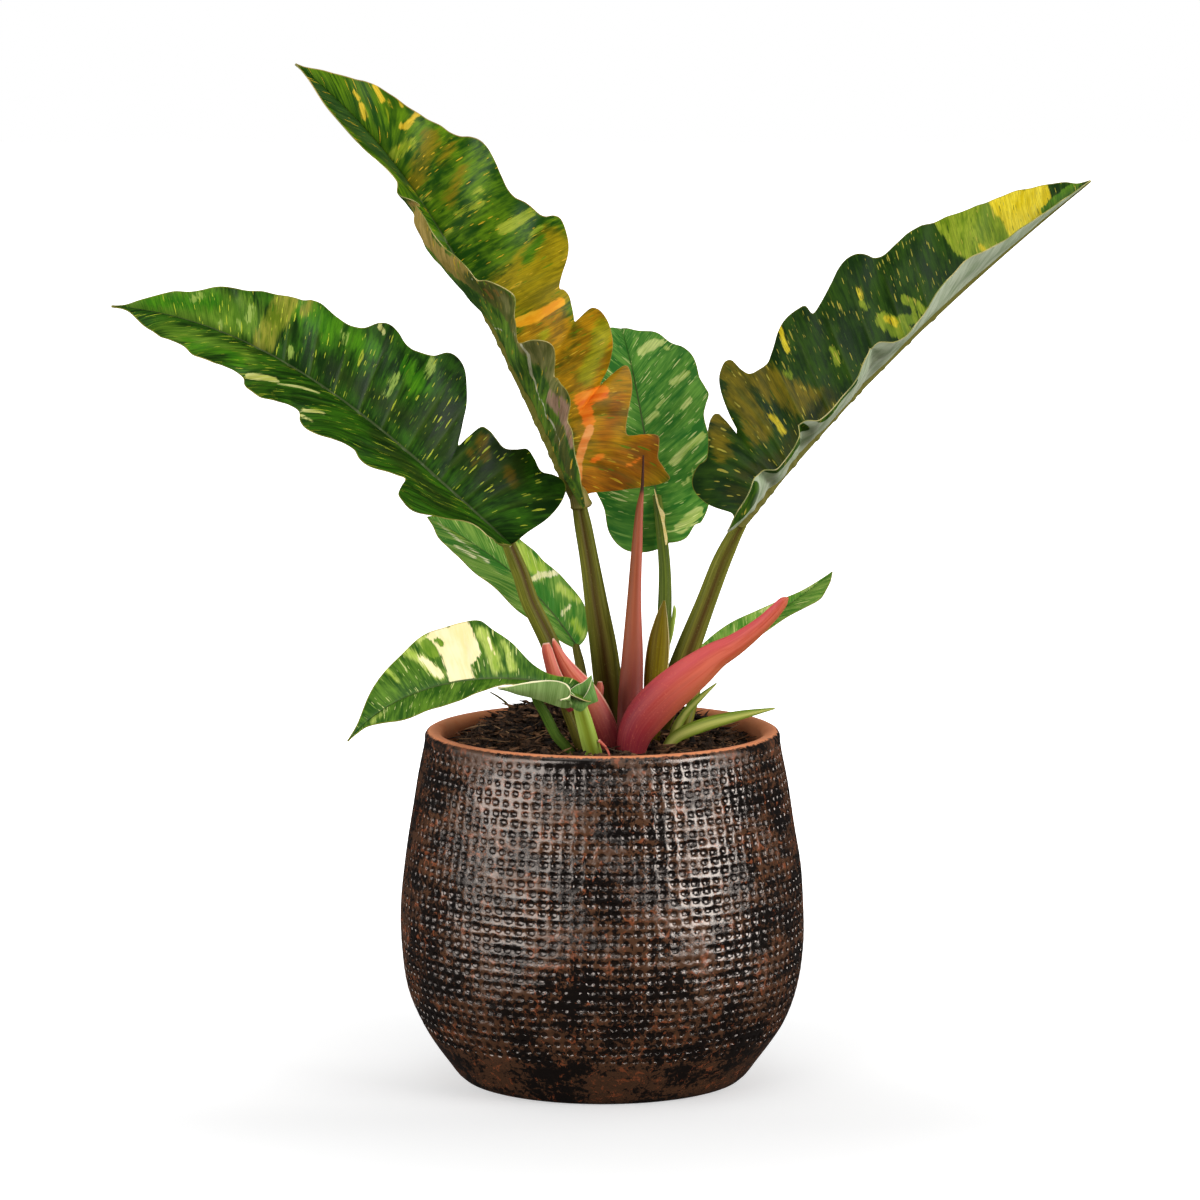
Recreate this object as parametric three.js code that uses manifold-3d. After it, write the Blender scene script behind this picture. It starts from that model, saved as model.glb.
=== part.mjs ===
// Potted ring of fire philodendron: seven lobed leaves, pink sheaths and a bud in a dimpled clay pot.
// Millimetres, +Z up. The origin is the centre of the pot's flat foot, and the front faces -Y.

import * as THREE from 'three';
import { mergeVertices } from 'three/addons/utils/BufferGeometryUtils.js';
import Module from 'manifold-3d';

const wasm = await Module();
wasm.setup();

// Driving sizes
const CLEARANCE = 0.35;
const BLADE_THICKNESS = 0.8;
const POT_HEIGHT = 216;
const RIM_RADIUS = 110;
const RIM_INNER_RADIUS = 99;
const BELLY_RADIUS = 125;
const FOOT_RADIUS = 87;
const POT_FLOOR = 16;
const DIMPLE_DEPTH = 1.2;
const DIMPLES_ROUND = 28;
const DIMPLE_ROWS = 10;
const DIMPLES_FROM = 30;
const DIMPLES_TO = 205;
const LIP_RINGS = [
  [POT_HEIGHT - 2.6, RIM_INNER_RADIUS + 0.6], [POT_HEIGHT - 0.4, RIM_INNER_RADIUS + 3.4],
  [POT_HEIGHT, (RIM_RADIUS + RIM_INNER_RADIUS) / 2], [POT_HEIGHT - 1.4, RIM_RADIUS - 2],
  [POT_HEIGHT - 4.6, RIM_RADIUS - 0.3],
];
const FOOT_RINGS = [20, 10, 3];
const SOIL_EDGE = 204;
const SOIL_SIDES = 32;
const SOIL_RINGS = [0.17, 0.36, 0.54, 0.7, 0.85, 1];
const SOIL_WALL_RADIUS = RIM_INNER_RADIUS + 0.55;
const ROOT_DEPTH = 32;
const THINNEST_STEM = 0.4;
const COLUMN_GAP_AT_BASE = 0.5;
const COLUMN_GAP_GROWTH = 1.8;
const RIB_TAPER = 0.8;
const SHOULDER_PART = 0.2;
const SHOULDER_REACH = 1.3;
const FULL_WAVE_WIDTH = 30;

// Pot outline as height and radius, from the foot to under the lip
const POT_SIDE = [
  [0, FOOT_RADIUS], [3, 90.5], [10, 96], [20, 103.6], [30, 110], [43, 116], [56, 120.4], [70, 123.3],
  [90, BELLY_RADIUS], [110, 124.6], [134, 122.4], [160, 118.4], [185, 113.9], [205, 110.2], [210, 109.6],
];
const POT_INSIDE = [
  [POT_FLOOR, 82], [40, 102], [90, 115], [140, 111.5], [197, 101.5], [208, RIM_INNER_RADIUS],
];

// Number helpers

function through(rows, at) {
  const last = rows.length - 1;
  if (at <= rows[0][0]) return rows[0][1];
  if (at >= rows[last][0]) return rows[last][1];
  let i = 0;
  while (rows[i + 1][0] < at) i += 1;
  const slopeAt = (k) => {
    const [a, b] = [Math.max(0, k - 1), Math.min(last, k + 1)];
    return (rows[b][1] - rows[a][1]) / (rows[b][0] - rows[a][0]);
  };
  const span = rows[i + 1][0] - rows[i][0];
  const x = (at - rows[i][0]) / span;
  const startWeight = 2 * x ** 3 - 3 * x * x + 1;
  const startSlope = (x ** 3 - 2 * x * x + x) * span * slopeAt(i);
  const endSlope = (x ** 3 - x * x) * span * slopeAt(i + 1);
  return startWeight * rows[i][1] + startSlope + (1 - startWeight) * rows[i + 1][1] + endSlope;
}

function radians(degrees) {
  return THREE.MathUtils.degToRad(degrees);
}

// Solids

function geometryFrom(points, faces) {
  const geometry = new THREE.BufferGeometry();
  geometry.setAttribute('position', new THREE.Float32BufferAttribute(points.flat(), 3));
  geometry.setIndex(faces.flat());
  return geometry;
}

function toSolid(geometry) {
  const bare = geometry.clone();
  bare.deleteAttribute('normal');
  bare.deleteAttribute('uv');
  const welded = mergeVertices(bare, 1e-4);
  return new wasm.Manifold(new wasm.Mesh({
    numProp: 3,
    vertProperties: new Float32Array(welded.attributes.position.array),
    triVerts: new Uint32Array(welded.index.array),
  }));
}

function toGeometry(solid) {
  const mesh = solid.getMesh();
  const geometry = new THREE.BufferGeometry();
  geometry.setAttribute('position', new THREE.BufferAttribute(new Float32Array(mesh.vertProperties), 3));
  geometry.setIndex(new THREE.BufferAttribute(new Uint32Array(mesh.triVerts), 1));
  geometry.computeVertexNormals();
  return geometry;
}

function fuse(first, second) {
  return toGeometry(toSolid(first).add(toSolid(second)));
}

// Faces of a grid of rows and columns whose columns close into rings, with both ends capped by a fan
function ringFaces(rings, sides, startCap, endCap) {
  const faces = [];
  for (let i = 0; i < rings - 1; i += 1) {
    for (let j = 0; j < sides; j += 1) {
      const a = i * sides + j;
      const b = i * sides + (j + 1) % sides;
      faces.push([a, b, b + sides], [a, b + sides, a + sides]);
    }
  }
  const lastRing = (rings - 1) * sides;
  for (let j = 0; j < sides; j += 1) {
    const next = (j + 1) % sides;
    faces.push([startCap, next, j], [endCap, lastRing + j, lastRing + next]);
  }
  return faces;
}

// Stems, sheaths and buds: a tube through rows of [x, y, z, radius], with flat ends.
// flat squeezes the section across the view from the front, and groove sinks a channel in one side.

function stemGeometry(rows, { sides = 10, steps = 12, flat = 1, groove = 0, extra = 0 } = {}) {
  const line = new THREE.CatmullRomCurve3(rows.map(([x, y, z]) => new THREE.Vector3(x, y, z)));
  const radii = rows.map((row, i) => [i / (rows.length - 1), row[3]]);
  const towardFront = new THREE.Vector3(0, -1, 0);
  const points = [];
  for (let i = 0; i <= steps; i += 1) {
    const t = i / steps;
    const centre = line.getPoint(t);
    const along = line.getTangent(t);
    const across = new THREE.Vector3().crossVectors(along, towardFront).normalize();
    const front = new THREE.Vector3().crossVectors(across, along).normalize();
    const radius = Math.max(THINNEST_STEM, through(radii, t)) + extra;
    if (i === 0) centre.addScaledVector(along, -extra);
    if (i === steps) centre.addScaledVector(along, extra);
    for (let j = 0; j < sides; j += 1) {
      const turn = 2 * Math.PI * j / sides;
      const inward = groove * radius * Math.max(0, Math.cos(turn)) ** 6;
      const point = centre.clone()
        .addScaledVector(front, (radius - inward) * Math.cos(turn) * flat)
        .addScaledVector(across, (radius - inward) * Math.sin(turn));
      points.push(point.toArray());
    }
  }
  points.push(averageOf(points.slice(0, sides)), averageOf(points.slice(-sides)));
  const faces = ringFaces(steps + 1, sides, points.length - 2, points.length - 1);
  return geometryFrom(points, faces);
}

function averageOf(points) {
  const sum = points.reduce((total, p) => total.map((value, i) => value + p[i]), [0, 0, 0]);
  return sum.map((value) => value / points.length);
}

// The foot of a stem goes straight on into the soil, and its hole is the same shape with clearance round it
function rooted(rows, footRadius, lean = [0, 0]) {
  const [x, y, z] = rows[rows.length - 1];
  return [...rows, [x + lean[0], y + lean[1], z - ROOT_DEPTH, footRadius]];
}

// Leaves: a rib curve, the direction that the face looks, and two halves.
// Each half has rows of [place along the rib, value]: its width, the angle that it folds up by,
// how much it curls across its width, and how far its side veins sweep toward the tip.

const BIG_SWEEP = [[0, -45], [0.04, -10], [0.09, 18], [0.15, 30], [0.3, 34], [1, 42]];

const LEAVES = {
  left: {
    rib: [[-58, -22, 334], [-124, -38, 397], [-196, -52, 473], [-293, -62, 481]],
    face: [0.3, -0.77, 0.64],
    ribRadius: 3.6,
    stub: [[-57, -21.8, 333], [-53.5, -21, 324], [-50, -20, 315]],
    halves: {
      right: {
        width: [
          [0, 4], [0.018, 15], [0.03, 30], [0.046, 48], [0.056, 54], [0.066, 53], [0.076, 50],
          [0.092, 53.5], [0.106, 54], [0.116, 48.5], [0.13, 43], [0.15, 42], [0.17, 42.5], [0.183, 41],
          [0.193, 31], [0.2, 25], [0.207, 35], [0.217, 50], [0.23, 61], [0.245, 67.5], [0.263, 69.5],
          [0.283, 66.5],
          [0.31, 57.5], [0.34, 55.3], [0.357, 57], [0.375, 61.5], [0.395, 61.8], [0.42, 56.5],
          [0.45, 46.5], [0.475, 44], [0.5, 46.5], [0.53, 49.8], [0.555, 47], [0.58, 41.5], [0.62, 39.3],
          [0.656, 39.4], [0.72, 30], [0.765, 26.7], [0.83, 19.8], [0.88, 12.8], [0.93, 7.5], [0.97, 2.1],
          [1, 0.5],
        ],
        fold: [[0, 34], [0.15, 26], [1, 22]],
        curl: [[0, -8], [1, -8]],
        sweep: [[0, -50], [0.08, -10], [0.2, 12], [0.45, 25], [1, 38]],
        wave: [4, 7, 0.1],
      },
      left: {
        width: [
          [0, 3], [0.02, 10], [0.04, 16], [0.07, 30], [0.09, 38.5], [0.104, 36], [0.12, 35], [0.14, 38],
          [0.16, 46.5], [0.18, 53], [0.2, 58], [0.222, 60.8], [0.234, 58], [0.242, 45], [0.248, 35],
          [0.262, 36], [0.283, 37.6], [0.31, 41], [0.335, 41], [0.352, 39.5], [0.37, 44], [0.39, 52],
          [0.41, 56], [0.438, 52.7], [0.466, 45.5], [0.484, 39.5], [0.505, 43.5], [0.523, 52],
          [0.543, 58.8], [0.571, 54], [0.6, 45], [0.618, 38.4], [0.64, 38.5], [0.66, 43], [0.68, 46.2],
          [0.72, 42], [0.767, 32.4], [0.8, 35], [0.82, 35.5], [0.867, 23], [0.925, 11.8], [0.965, 3.8],
          [1, 0.5],
        ],
        fold: [[0, 60], [0.12, 44], [0.3, 28], [1, 20]],
        curl: [[0, -12], [1, -8]],
        sweep: [[0, -50], [0.08, -10], [0.2, 12], [0.45, 25], [1, 38]],
        wave: [4, 7, 0.5],
      },
    },
  },
  tall: {
    rib: [[-17, 2, 359], [-62, -2, 453], [-101, -13, 558], [-184, -30, 624]],
    face: [0.33, -0.8, 0.48],
    ribRadius: 3.2,
    stub: [[-16.6, 2.1, 358], [-14.2, 2.6, 350], [-12, 3.2, 342]],
    halves: {
      right: {
        width: [
          [0, 8], [0.014, 12], [0.019, 35], [0.023, 60], [0.029, 60.5], [0.036, 58.5], [0.043, 62],
          [0.049, 64], [0.053, 56], [0.057, 47.8], [0.063, 49], [0.07, 54], [0.077, 60], [0.085, 66.5],
          [0.095, 71], [0.103, 70], [0.107, 60], [0.11, 49.5], [0.114, 57], [0.12, 64], [0.128, 69],
          [0.14, 71.5], [0.156, 73.2], [0.173, 73.6], [0.188, 72.5], [0.199, 69], [0.205, 62],
          [0.209, 56], [0.219, 57.5], [0.23, 59.5], [0.247, 60.9], [0.268, 58.4], [0.281, 55.4],
          [0.292, 61.6], [0.298, 68.7], [0.307, 73.8], [0.324, 78], [0.345, 80.9], [0.359, 78.7],
          [0.371, 74], [0.384, 71], [0.405, 67.8], [0.43, 63.5], [0.454, 58.7], [0.473, 58.2],
          [0.493, 61], [0.516, 64.2], [0.54, 64.4], [0.565, 61.3], [0.59, 55.7], [0.608, 50.7],
          [0.627, 48], [0.65, 46.8], [0.69, 40.5], [0.735, 33.8], [0.77, 32.6], [0.8, 31], [0.83, 26.5],
          [0.86, 20.4], [0.9, 14.5], [0.935, 10], [0.977, 3], [1, 0.5],
        ],
        fold: [[0, 20], [1, 20]],
        curl: [[0, -8], [1, -8]],
        sweep: BIG_SWEEP,
        wave: [3, 7, 0.1],
      },
      left: {
        width: [
          [0, 7], [0.02, 26], [0.045, 44], [0.07, 51], [0.088, 50], [0.1, 42], [0.108, 38], [0.118, 46],
          [0.135, 54], [0.15, 54], [0.165, 50], [0.175, 45], [0.186, 51], [0.21, 58], [0.235, 58],
          [0.25, 50], [0.26, 46], [0.272, 53], [0.3, 60], [0.34, 61], [0.37, 59], [0.385, 54],
          [0.4, 57], [0.45, 58], [0.5, 58], [0.545, 55], [0.566, 50], [0.574, 42], [0.585, 41],
          [0.61, 44], [0.65, 40.5], [0.7, 35], [0.75, 30.5], [0.8, 26], [0.85, 20.5], [0.9, 14],
          [0.95, 7], [0.98, 3], [1, 0.5],
        ],
        fold: [
          [0, 56], [0.07, 64], [0.12, 78], [0.15, 72], [0.18, 76], [0.21, 76], [0.25, 58], [0.285, 58],
          [0.32, 64], [0.36, 55], [0.4, 36], [0.46, 8], [0.56, 2], [0.6, 20], [0.64, 35], [0.75, 28],
          [0.9, 18], [1, 30],
        ],
        curl: [[0, 15], [0.3, 25], [0.38, 30], [0.45, 80], [0.57, 85], [0.62, 20], [1, 0]],
        sweep: BIG_SWEEP,
        wave: [0, 7, 0.6],
      },
    },
  },
  right: {
    rib: [[86, 14, 343], [147, 12, 422], [220, -1, 491], [294, -25, 554]],
    face: [-0.42, -0.78, 0.42],
    ribRadius: 3.6,
    stub: [[85.3, 14, 342], [81.5, 13.9, 335], [78, 13.8, 328]],
    halves: {
      left: {
        width: [
          [0, 6], [0.02, 10.4], [0.026, 24.7], [0.031, 33], [0.037, 40], [0.044, 44.3], [0.054, 46],
          [0.06, 44.4], [0.069, 50], [0.077, 57], [0.085, 60.8], [0.091, 58], [0.0945, 42], [0.099, 55],
          [0.103, 67], [0.108, 75.5], [0.114, 79.6], [0.121, 81.4], [0.129, 78.5], [0.135, 70],
          [0.145, 63], [0.165, 59.7], [0.181, 59.4], [0.19, 62.6], [0.2, 67], [0.212, 72.7],
          [0.225, 76.1], [0.243, 76.5], [0.268, 73.6], [0.286, 70], [0.294, 64], [0.3, 61.6],
          [0.313, 62.8], [0.33, 66.6], [0.346, 71.4], [0.362, 76.1], [0.38, 78.5], [0.398, 77.1],
          [0.42, 72.3], [0.438, 66.8], [0.452, 61.8], [0.464, 59.6], [0.476, 59.2], [0.5, 61.6],
          [0.528, 62.4], [0.562, 58.2], [0.6, 51.7], [0.63, 50.6], [0.665, 47.5], [0.697, 43.2],
          [0.73, 37.6], [0.76, 35.4], [0.8, 33.2], [0.85, 24.2], [0.893, 17.8], [0.928, 12.9],
          [0.965, 5.1], [1, 0.5],
        ],
        fold: [[0, 16], [1, 16]],
        curl: [[0, -8], [1, -8]],
        sweep: [[0, -55], [0.04, -20], [0.09, 12], [0.15, 26], [0.3, 32], [1, 42]],
        wave: [3, 7, 0.1],
      },
      right: {
        width: [
          [0, 6], [0.02, 24], [0.045, 43], [0.066, 51.5], [0.08, 52.5], [0.086, 46], [0.092, 50],
          [0.11, 54.5], [0.145, 57], [0.162, 54], [0.17, 49], [0.179, 54], [0.2, 58], [0.25, 59],
          [0.3, 59.5], [0.345, 59], [0.362, 54], [0.37, 50], [0.38, 55.5], [0.41, 57], [0.46, 55.3],
          [0.52, 53], [0.555, 51], [0.59, 45.5], [0.62, 45], [0.657, 42], [0.7, 37], [0.74, 32.7],
          [0.8, 26], [0.86, 19.2], [0.92, 11], [0.965, 4.5], [1, 0.5],
        ],
        fold: [
          [0, 48], [0.07, 57], [0.088, 60], [0.1, 52], [0.146, 53], [0.17, 60], [0.19, 50], [0.25, 49],
          [0.3, 51], [0.345, 57], [0.372, 60], [0.4, 50], [0.465, 49], [0.555, 57], [0.63, 62],
          [0.74, 56], [1, 54],
        ],
        curl: [[0, 20], [1, 10]],
        sweep: [[0, -55], [0.04, -20], [0.09, 12], [0.15, 26], [0.3, 32], [1, 42]],
        wave: [0, 7, 0.5],
      },
    },
  },
  back: {
    rib: [[34, 66, 354], [25, 76, 392], [22, 99, 425], [12, 126, 453]],
    face: [0, -0.85, 0.5],
    ribRadius: 2.2,
    stub: [[34.2, 65.6, 353], [35.4, 62, 344], [36.4, 58.5, 335]],
    halves: {
      right: {
        width: [
          [0, 31], [0.03, 36.5], [0.056, 36.2], [0.066, 38.8], [0.12, 39.5], [0.19, 40], [0.27, 39.5],
          [0.327, 39.6], [0.355, 42.2], [0.383, 45.5], [0.41, 44.6], [0.465, 43], [0.524, 43.5],
          [0.566, 42.6], [0.613, 39.1], [0.666, 34.3], [0.758, 27.2], [0.835, 17.7], [0.936, 7.6],
          [1, 0.6],
        ],
        fold: [[0, -6], [0.15, 4], [0.4, 12], [1, 12]],
        curl: [[0, 0], [1, 0]],
        sweep: [[0, -75], [0.1, -35], [0.3, 5], [0.6, 25], [1, 50]],
        wave: [2, 5, 0.2],
      },
      left: {
        width: [
          [0, 31], [0.04, 42], [0.062, 46.3], [0.09, 45.4], [0.132, 39.4], [0.2, 40], [0.3, 40.5],
          [0.38, 43], [0.46, 41], [0.56, 40], [0.65, 35], [0.75, 27.5], [0.85, 19], [0.948, 10], [1, 0.6],
        ],
        fold: [[0, -6], [0.15, 4], [0.4, 12], [1, 12]],
        curl: [[0, 0], [1, 0]],
        sweep: [[0, -75], [0.1, -35], [0.3, 5], [0.6, 25], [1, 50]],
        wave: [2, 5, 0.7],
      },
    },
  },
  shaded: {
    rib: [[-17, 52, 261], [-39, 61, 295], [-73, 71, 320], [-110, 80, 338]],
    face: [0.3, -0.8, 0.5],
    ribRadius: 1.8,
    stub: [[-16.7, 51.8, 260.3], [-15.6, 48.5, 256], [-14.5, 45, 251.6]],
    halves: {
      right: {
        width: [
          [0, 3], [0.043, 10.6], [0.094, 17], [0.145, 20.8], [0.24, 21], [0.35, 20.7], [0.41, 22.4],
          [0.49, 21.9], [0.6, 22.4], [0.7, 19], [0.8, 14], [0.9, 7.5], [1, 0.5],
        ],
        fold: [[0, 15], [1, 15]],
        curl: [[0, 0], [1, 0]],
        sweep: [[0, -40], [0.1, 0], [0.3, 20], [1, 40]],
        wave: [1.5, 4, 0.1],
      },
      left: {
        width: [
          [0, 3], [0.1, 12], [0.2, 19.6], [0.26, 22.2], [0.415, 23.7], [0.56, 23.1], [0.67, 21.2],
          [0.75, 17.5], [0.83, 14], [0.92, 6.5], [1, 0.5],
        ],
        fold: [[0, 15], [1, 15]],
        curl: [[0, 0], [1, 0]],
        sweep: [[0, -40], [0.1, 0], [0.3, 20], [1, 40]],
        wave: [1.5, 4, 0.6],
      },
    },
  },
  cream: {
    rib: [[-11, -47, 245], [-56, -72, 266], [-119, -102, 265], [-150, -135, 230]],
    face: [0.15, -0.6, 0.78],
    ribRadius: 2.2,
    stub: [[-11.4, -47, 245.2], [-7.6, -46, 240], [-6.4, -44.4, 229]],
    halves: {
      right: {
        width: [
          [0, 3], [0.06, 7], [0.12, 6], [0.16, 7], [0.207, 12], [0.253, 23.5], [0.29, 32], [0.315, 38.4],
          [0.368, 38.6], [0.44, 36.1], [0.51, 33.5], [0.584, 28.3], [0.678, 21.8], [0.779, 14.3],
          [0.889, 5.4], [0.937, 2.5], [1, 0.5],
        ],
        fold: [[0, 25], [1, 25]],
        curl: [[0, 0], [1, 0]],
        sweep: [[0, -40], [0.1, 0], [0.3, 20], [1, 40]],
        wave: [1, 4, 0.3],
      },
      left: {
        width: [
          [0, 4], [0.04, 14], [0.075, 19.3], [0.12, 18.7], [0.21, 16.6], [0.26, 12.5], [0.315, 9.8],
          [0.37, 12], [0.42, 15.5], [0.5, 20], [0.575, 22.6], [0.66, 21], [0.75, 17], [0.83, 10],
          [0.9, 3.8], [0.951, 1.9], [1, 0.5],
        ],
        fold: [[0, 4], [1, 4]],
        curl: [[0, 30], [0.2, 60], [0.35, 20], [1, 0]],
        sweep: [[0, -40], [0.1, 0], [0.3, 20], [1, 40]],
        wave: [1, 4, 0.8],
      },
    },
  },
  side: {
    rib: [[60, 22, 251], [87, 38, 270], [117, 52, 284], [144, 65, 305]],
    face: [-0.3, -0.7, 0.65],
    ribRadius: 1.8,
    stub: [[59.6, 21.7, 250.7], [58.8, 17, 246], [58, 12, 240]],
    halves: {
      left: {
        width: [
          [0, 3], [0.05, 7.5], [0.1, 10.5], [0.235, 12.4], [0.41, 10.4], [0.6, 7], [0.76, 3.5],
          [0.91, 1.5], [1, 0.5],
        ],
        fold: [[0, 20], [1, 20]],
        curl: [[0, 0], [1, 0]],
        sweep: [[0, -20], [0.1, 0], [0.3, 20], [1, 40]],
        wave: [1, 3, 0.2],
      },
      right: {
        width: [
          [0, 3], [0.06, 9], [0.163, 13.5], [0.346, 12], [0.54, 14], [0.7, 18.6], [0.79, 15.6],
          [0.877, 10.2], [0.95, 4.5], [1, 0.5],
        ],
        fold: [[0, 20], [1, 20]],
        curl: [[0, 0], [1, 0]],
        sweep: [[0, -20], [0.1, 0], [0.3, 20], [1, 40]],
        wave: [1, 3, 0.7],
      },
    },
  },
};

function ribFrame(leaf, t) {
  const [a, b, c, d] = leaf.rib.map((p) => new THREE.Vector3(...p));
  const curve = new THREE.CubicBezierCurve3(a, b, c, d);
  const along = curve.getTangent(t);
  const face = new THREE.Vector3(...leaf.face).normalize();
  face.addScaledVector(along, -face.dot(along)).normalize();
  const across = new THREE.Vector3().crossVectors(along, face).normalize();
  return { point: curve.getPoint(t), along, face, across };
}

// A point on a leaf: t runs along the rib, and s from the rib (0) to the edge (1) of one half
function leafPoint(leaf, side, t, s) {
  const half = leaf.halves[side];
  const { point, along, face, across } = ribFrame(leaf, t);
  const width = Math.max(0, through(half.width, t));
  const fold = radians(through(half.fold, t));
  const curl = radians(through(half.curl, t));
  const sweep = radians(through(half.sweep, t));
  const [amplitude, count, phase] = half.wave;
  let out = s * Math.cos(fold);
  let up = s * Math.sin(fold);
  if (Math.abs(curl) > 1e-4) {
    out = (Math.sin(fold + curl * s) - Math.sin(fold)) / curl;
    up = (Math.cos(fold) - Math.cos(fold + curl * s)) / curl;
  }
  const swell = amplitude * Math.min(1, width / FULL_WAVE_WIDTH) * s * s;
  const ripple = swell * Math.sin(2 * Math.PI * (count * t + phase));
  return point
    .addScaledVector(across, (side === 'right' ? 1 : -1) * width * out * Math.cos(sweep))
    .addScaledVector(along, width * s * Math.sin(sweep))
    .addScaledVector(face, width * up + ripple);
}

// Columns of the blade's grid stand at the named places on both outlines, thinned where they crowd,
// and closest near the base, where the lobes are cut deepest
function bladeColumns(leaf, spacing) {
  const places = [...leaf.halves.left.width, ...leaf.halves.right.width].map(([t]) => t);
  places.sort((a, b) => a - b);
  const kept = [0];
  for (const t of places) {
    const gap = spacing * (COLUMN_GAP_AT_BASE + COLUMN_GAP_GROWTH * t);
    if (t - kept[kept.length - 1] >= gap && 1 - t >= gap) kept.push(t);
  }
  kept.push(1);
  return kept;
}

// The blade is one sheet with the rib raised under it, split into triangles alike on both faces
function bladeGeometry(leaf, { spacing = 0.0165, rows = [1, 0.68, 0.36] } = {}) {
  const columns = bladeColumns(leaf, spacing);
  const middle = [];
  const keel = [];
  for (const t of columns) {
    const ribRadius = leaf.ribRadius * (1 - RIB_TAPER * t);
    const shoulder = (side) => {
      const width = Math.max(1, through(leaf.halves[side].width, t));
      return Math.min(SHOULDER_PART, SHOULDER_REACH * ribRadius / width);
    };
    const line = [
      ...rows.map((s) => leafPoint(leaf, 'left', t, s)),
      leafPoint(leaf, 'left', t, shoulder('left')),
      ribFrame(leaf, t).point,
      leafPoint(leaf, 'right', t, shoulder('right')),
      ...[...rows].reverse().map((s) => leafPoint(leaf, 'right', t, s)),
    ];
    middle.push(line);
    keel.push(ribRadius);
  }
  const across = middle[0].length;
  const ribIndex = (across - 1) / 2;
  const faceNormal = (i, j) => {
    const before = middle[Math.max(0, i - 1)][j];
    const after = middle[Math.min(columns.length - 1, i + 1)][j];
    const oneSide = middle[i][Math.max(0, j - 1)];
    const otherSide = middle[i][Math.min(across - 1, j + 1)];
    const alongEdge = new THREE.Vector3().subVectors(after, before);
    const acrossEdge = new THREE.Vector3().subVectors(otherSide, oneSide);
    return alongEdge.cross(acrossEdge).normalize().negate();
  };
  const upper = [];
  const lower = [];
  for (let i = 0; i < columns.length; i += 1) {
    const rib = ribFrame(leaf, columns[i]);
    for (let j = 0; j < across; j += 1) {
      const onRib = j === ribIndex;
      const outward = onRib ? rib.face : faceNormal(i, j);
      const depth = onRib ? keel[i] : BLADE_THICKNESS / 2;
      upper.push(middle[i][j].clone().addScaledVector(outward, BLADE_THICKNESS / 2).toArray());
      lower.push(middle[i][j].clone().addScaledVector(outward, -depth).toArray());
    }
  }
  const below = upper.length;
  const faces = [];
  for (let i = 0; i < columns.length - 1; i += 1) {
    for (let j = 0; j < across - 1; j += 1) {
      const a = i * across + j;
      const [b, c, d] = [a + 1, a + across + 1, a + across];
      faces.push([a, b, c], [a, c, d]);
      faces.push([below + a, below + c, below + b], [below + a, below + d, below + c]);
    }
  }
  const edge = [];
  for (let j = 0; j < across - 1; j += 1) edge.push(j);
  for (let i = 0; i < columns.length - 1; i += 1) edge.push(i * across + across - 1);
  for (let j = across - 1; j > 0; j -= 1) edge.push((columns.length - 1) * across + j);
  for (let i = columns.length - 1; i > 0; i -= 1) edge.push(i * across);
  edge.forEach((a, k) => {
    const b = edge[(k + 1) % edge.length];
    faces.push([b, a, below + a], [b, below + a, below + b]);
  });
  return geometryFrom([...upper, ...lower], faces);
}

// Where the blade meets its stalk there is a short swollen joint of the same flesh, wider toward the stalk
function leafGeometry(leaf, stalkRadius, options) {
  const swelling = [0.8, 0.9, 1];
  const stub = leaf.stub.map((p, i) => [...p, stalkRadius * swelling[i]]);
  return fuse(bladeGeometry(leaf, options), stemGeometry(stub, { sides: 8, steps: 2 }));
}

// Stalks, from the swollen joint down to the crown

const STALKS = {
  left: {
    rows: [[-49.7, -19.9, 314.3, 5.2], [-44.5, -18, 298, 5.5], [-33, -15, 273, 5.8], [-21, -13, 242, 6.1],
      [-11, -12, 214, 6.4]],
    foot: 6.4, lean: [6, 3], groove: 0.25, top: 5.2,
  },
  tall: {
    rows: [[-11.8, 3.2, 341.4, 5.4], [-8, 4, 320, 5.9], [-3.6, 5, 292, 7.2], [0.4, 6, 267, 8.4],
      [4, 6, 239, 9], [7, 6, 211, 9]],
    foot: 8.8, lean: [1, 0], groove: 0.3, top: 5.4,
  },
  right: {
    rows: [[77.7, 13.8, 327.4, 5.2], [73, 14, 317, 5.8], [63.5, 13, 292, 6.3], [53.5, 12, 266, 7.4],
      [43, 12, 238, 8], [32, 12, 210, 8]],
    foot: 7.8, lean: [-6, 0], groove: 0.3, top: 5,
  },
  back: {
    rows: [[36.6, 58.1, 334.3, 3.4], [38.8, 50, 310, 3.8], [38.8, 41, 286, 4.4], [37, 34, 258, 4.7],
      [34, 30, 228, 4.9]],
    foot: 5, lean: [-2, -2], groove: 0, top: 3.4,
  },
  shaded: {
    rows: [[-14.3, 44.4, 251, 3], [-12, 36, 240, 3.3], [-9, 28, 226, 3.8], [-8, 25, 214, 4]],
    foot: 4.2, lean: [2, -2], groove: 0, top: 3,
  },
  cream: {
    rows: [[-6.3, -44.2, 228.2, 3.5], [-6, -42.6, 220, 3.9], [-5.4, -41, 213, 4.1], [-4.5, -39, 206, 4.3]],
    foot: 4.3, lean: [2, 3], groove: 0.2, top: 3.4,
  },
  side: {
    rows: [[57.8, 11.3, 239.2, 3], [55.5, 5, 231, 3.3], [52.5, 1, 222, 3.6], [50, -1, 213, 3.8]],
    foot: 3.8, lean: [-3, 1], groove: 0, top: 3,
  },
};

// Sheaths, bud, bracts and the stump of the crown, from tip to foot

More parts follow.
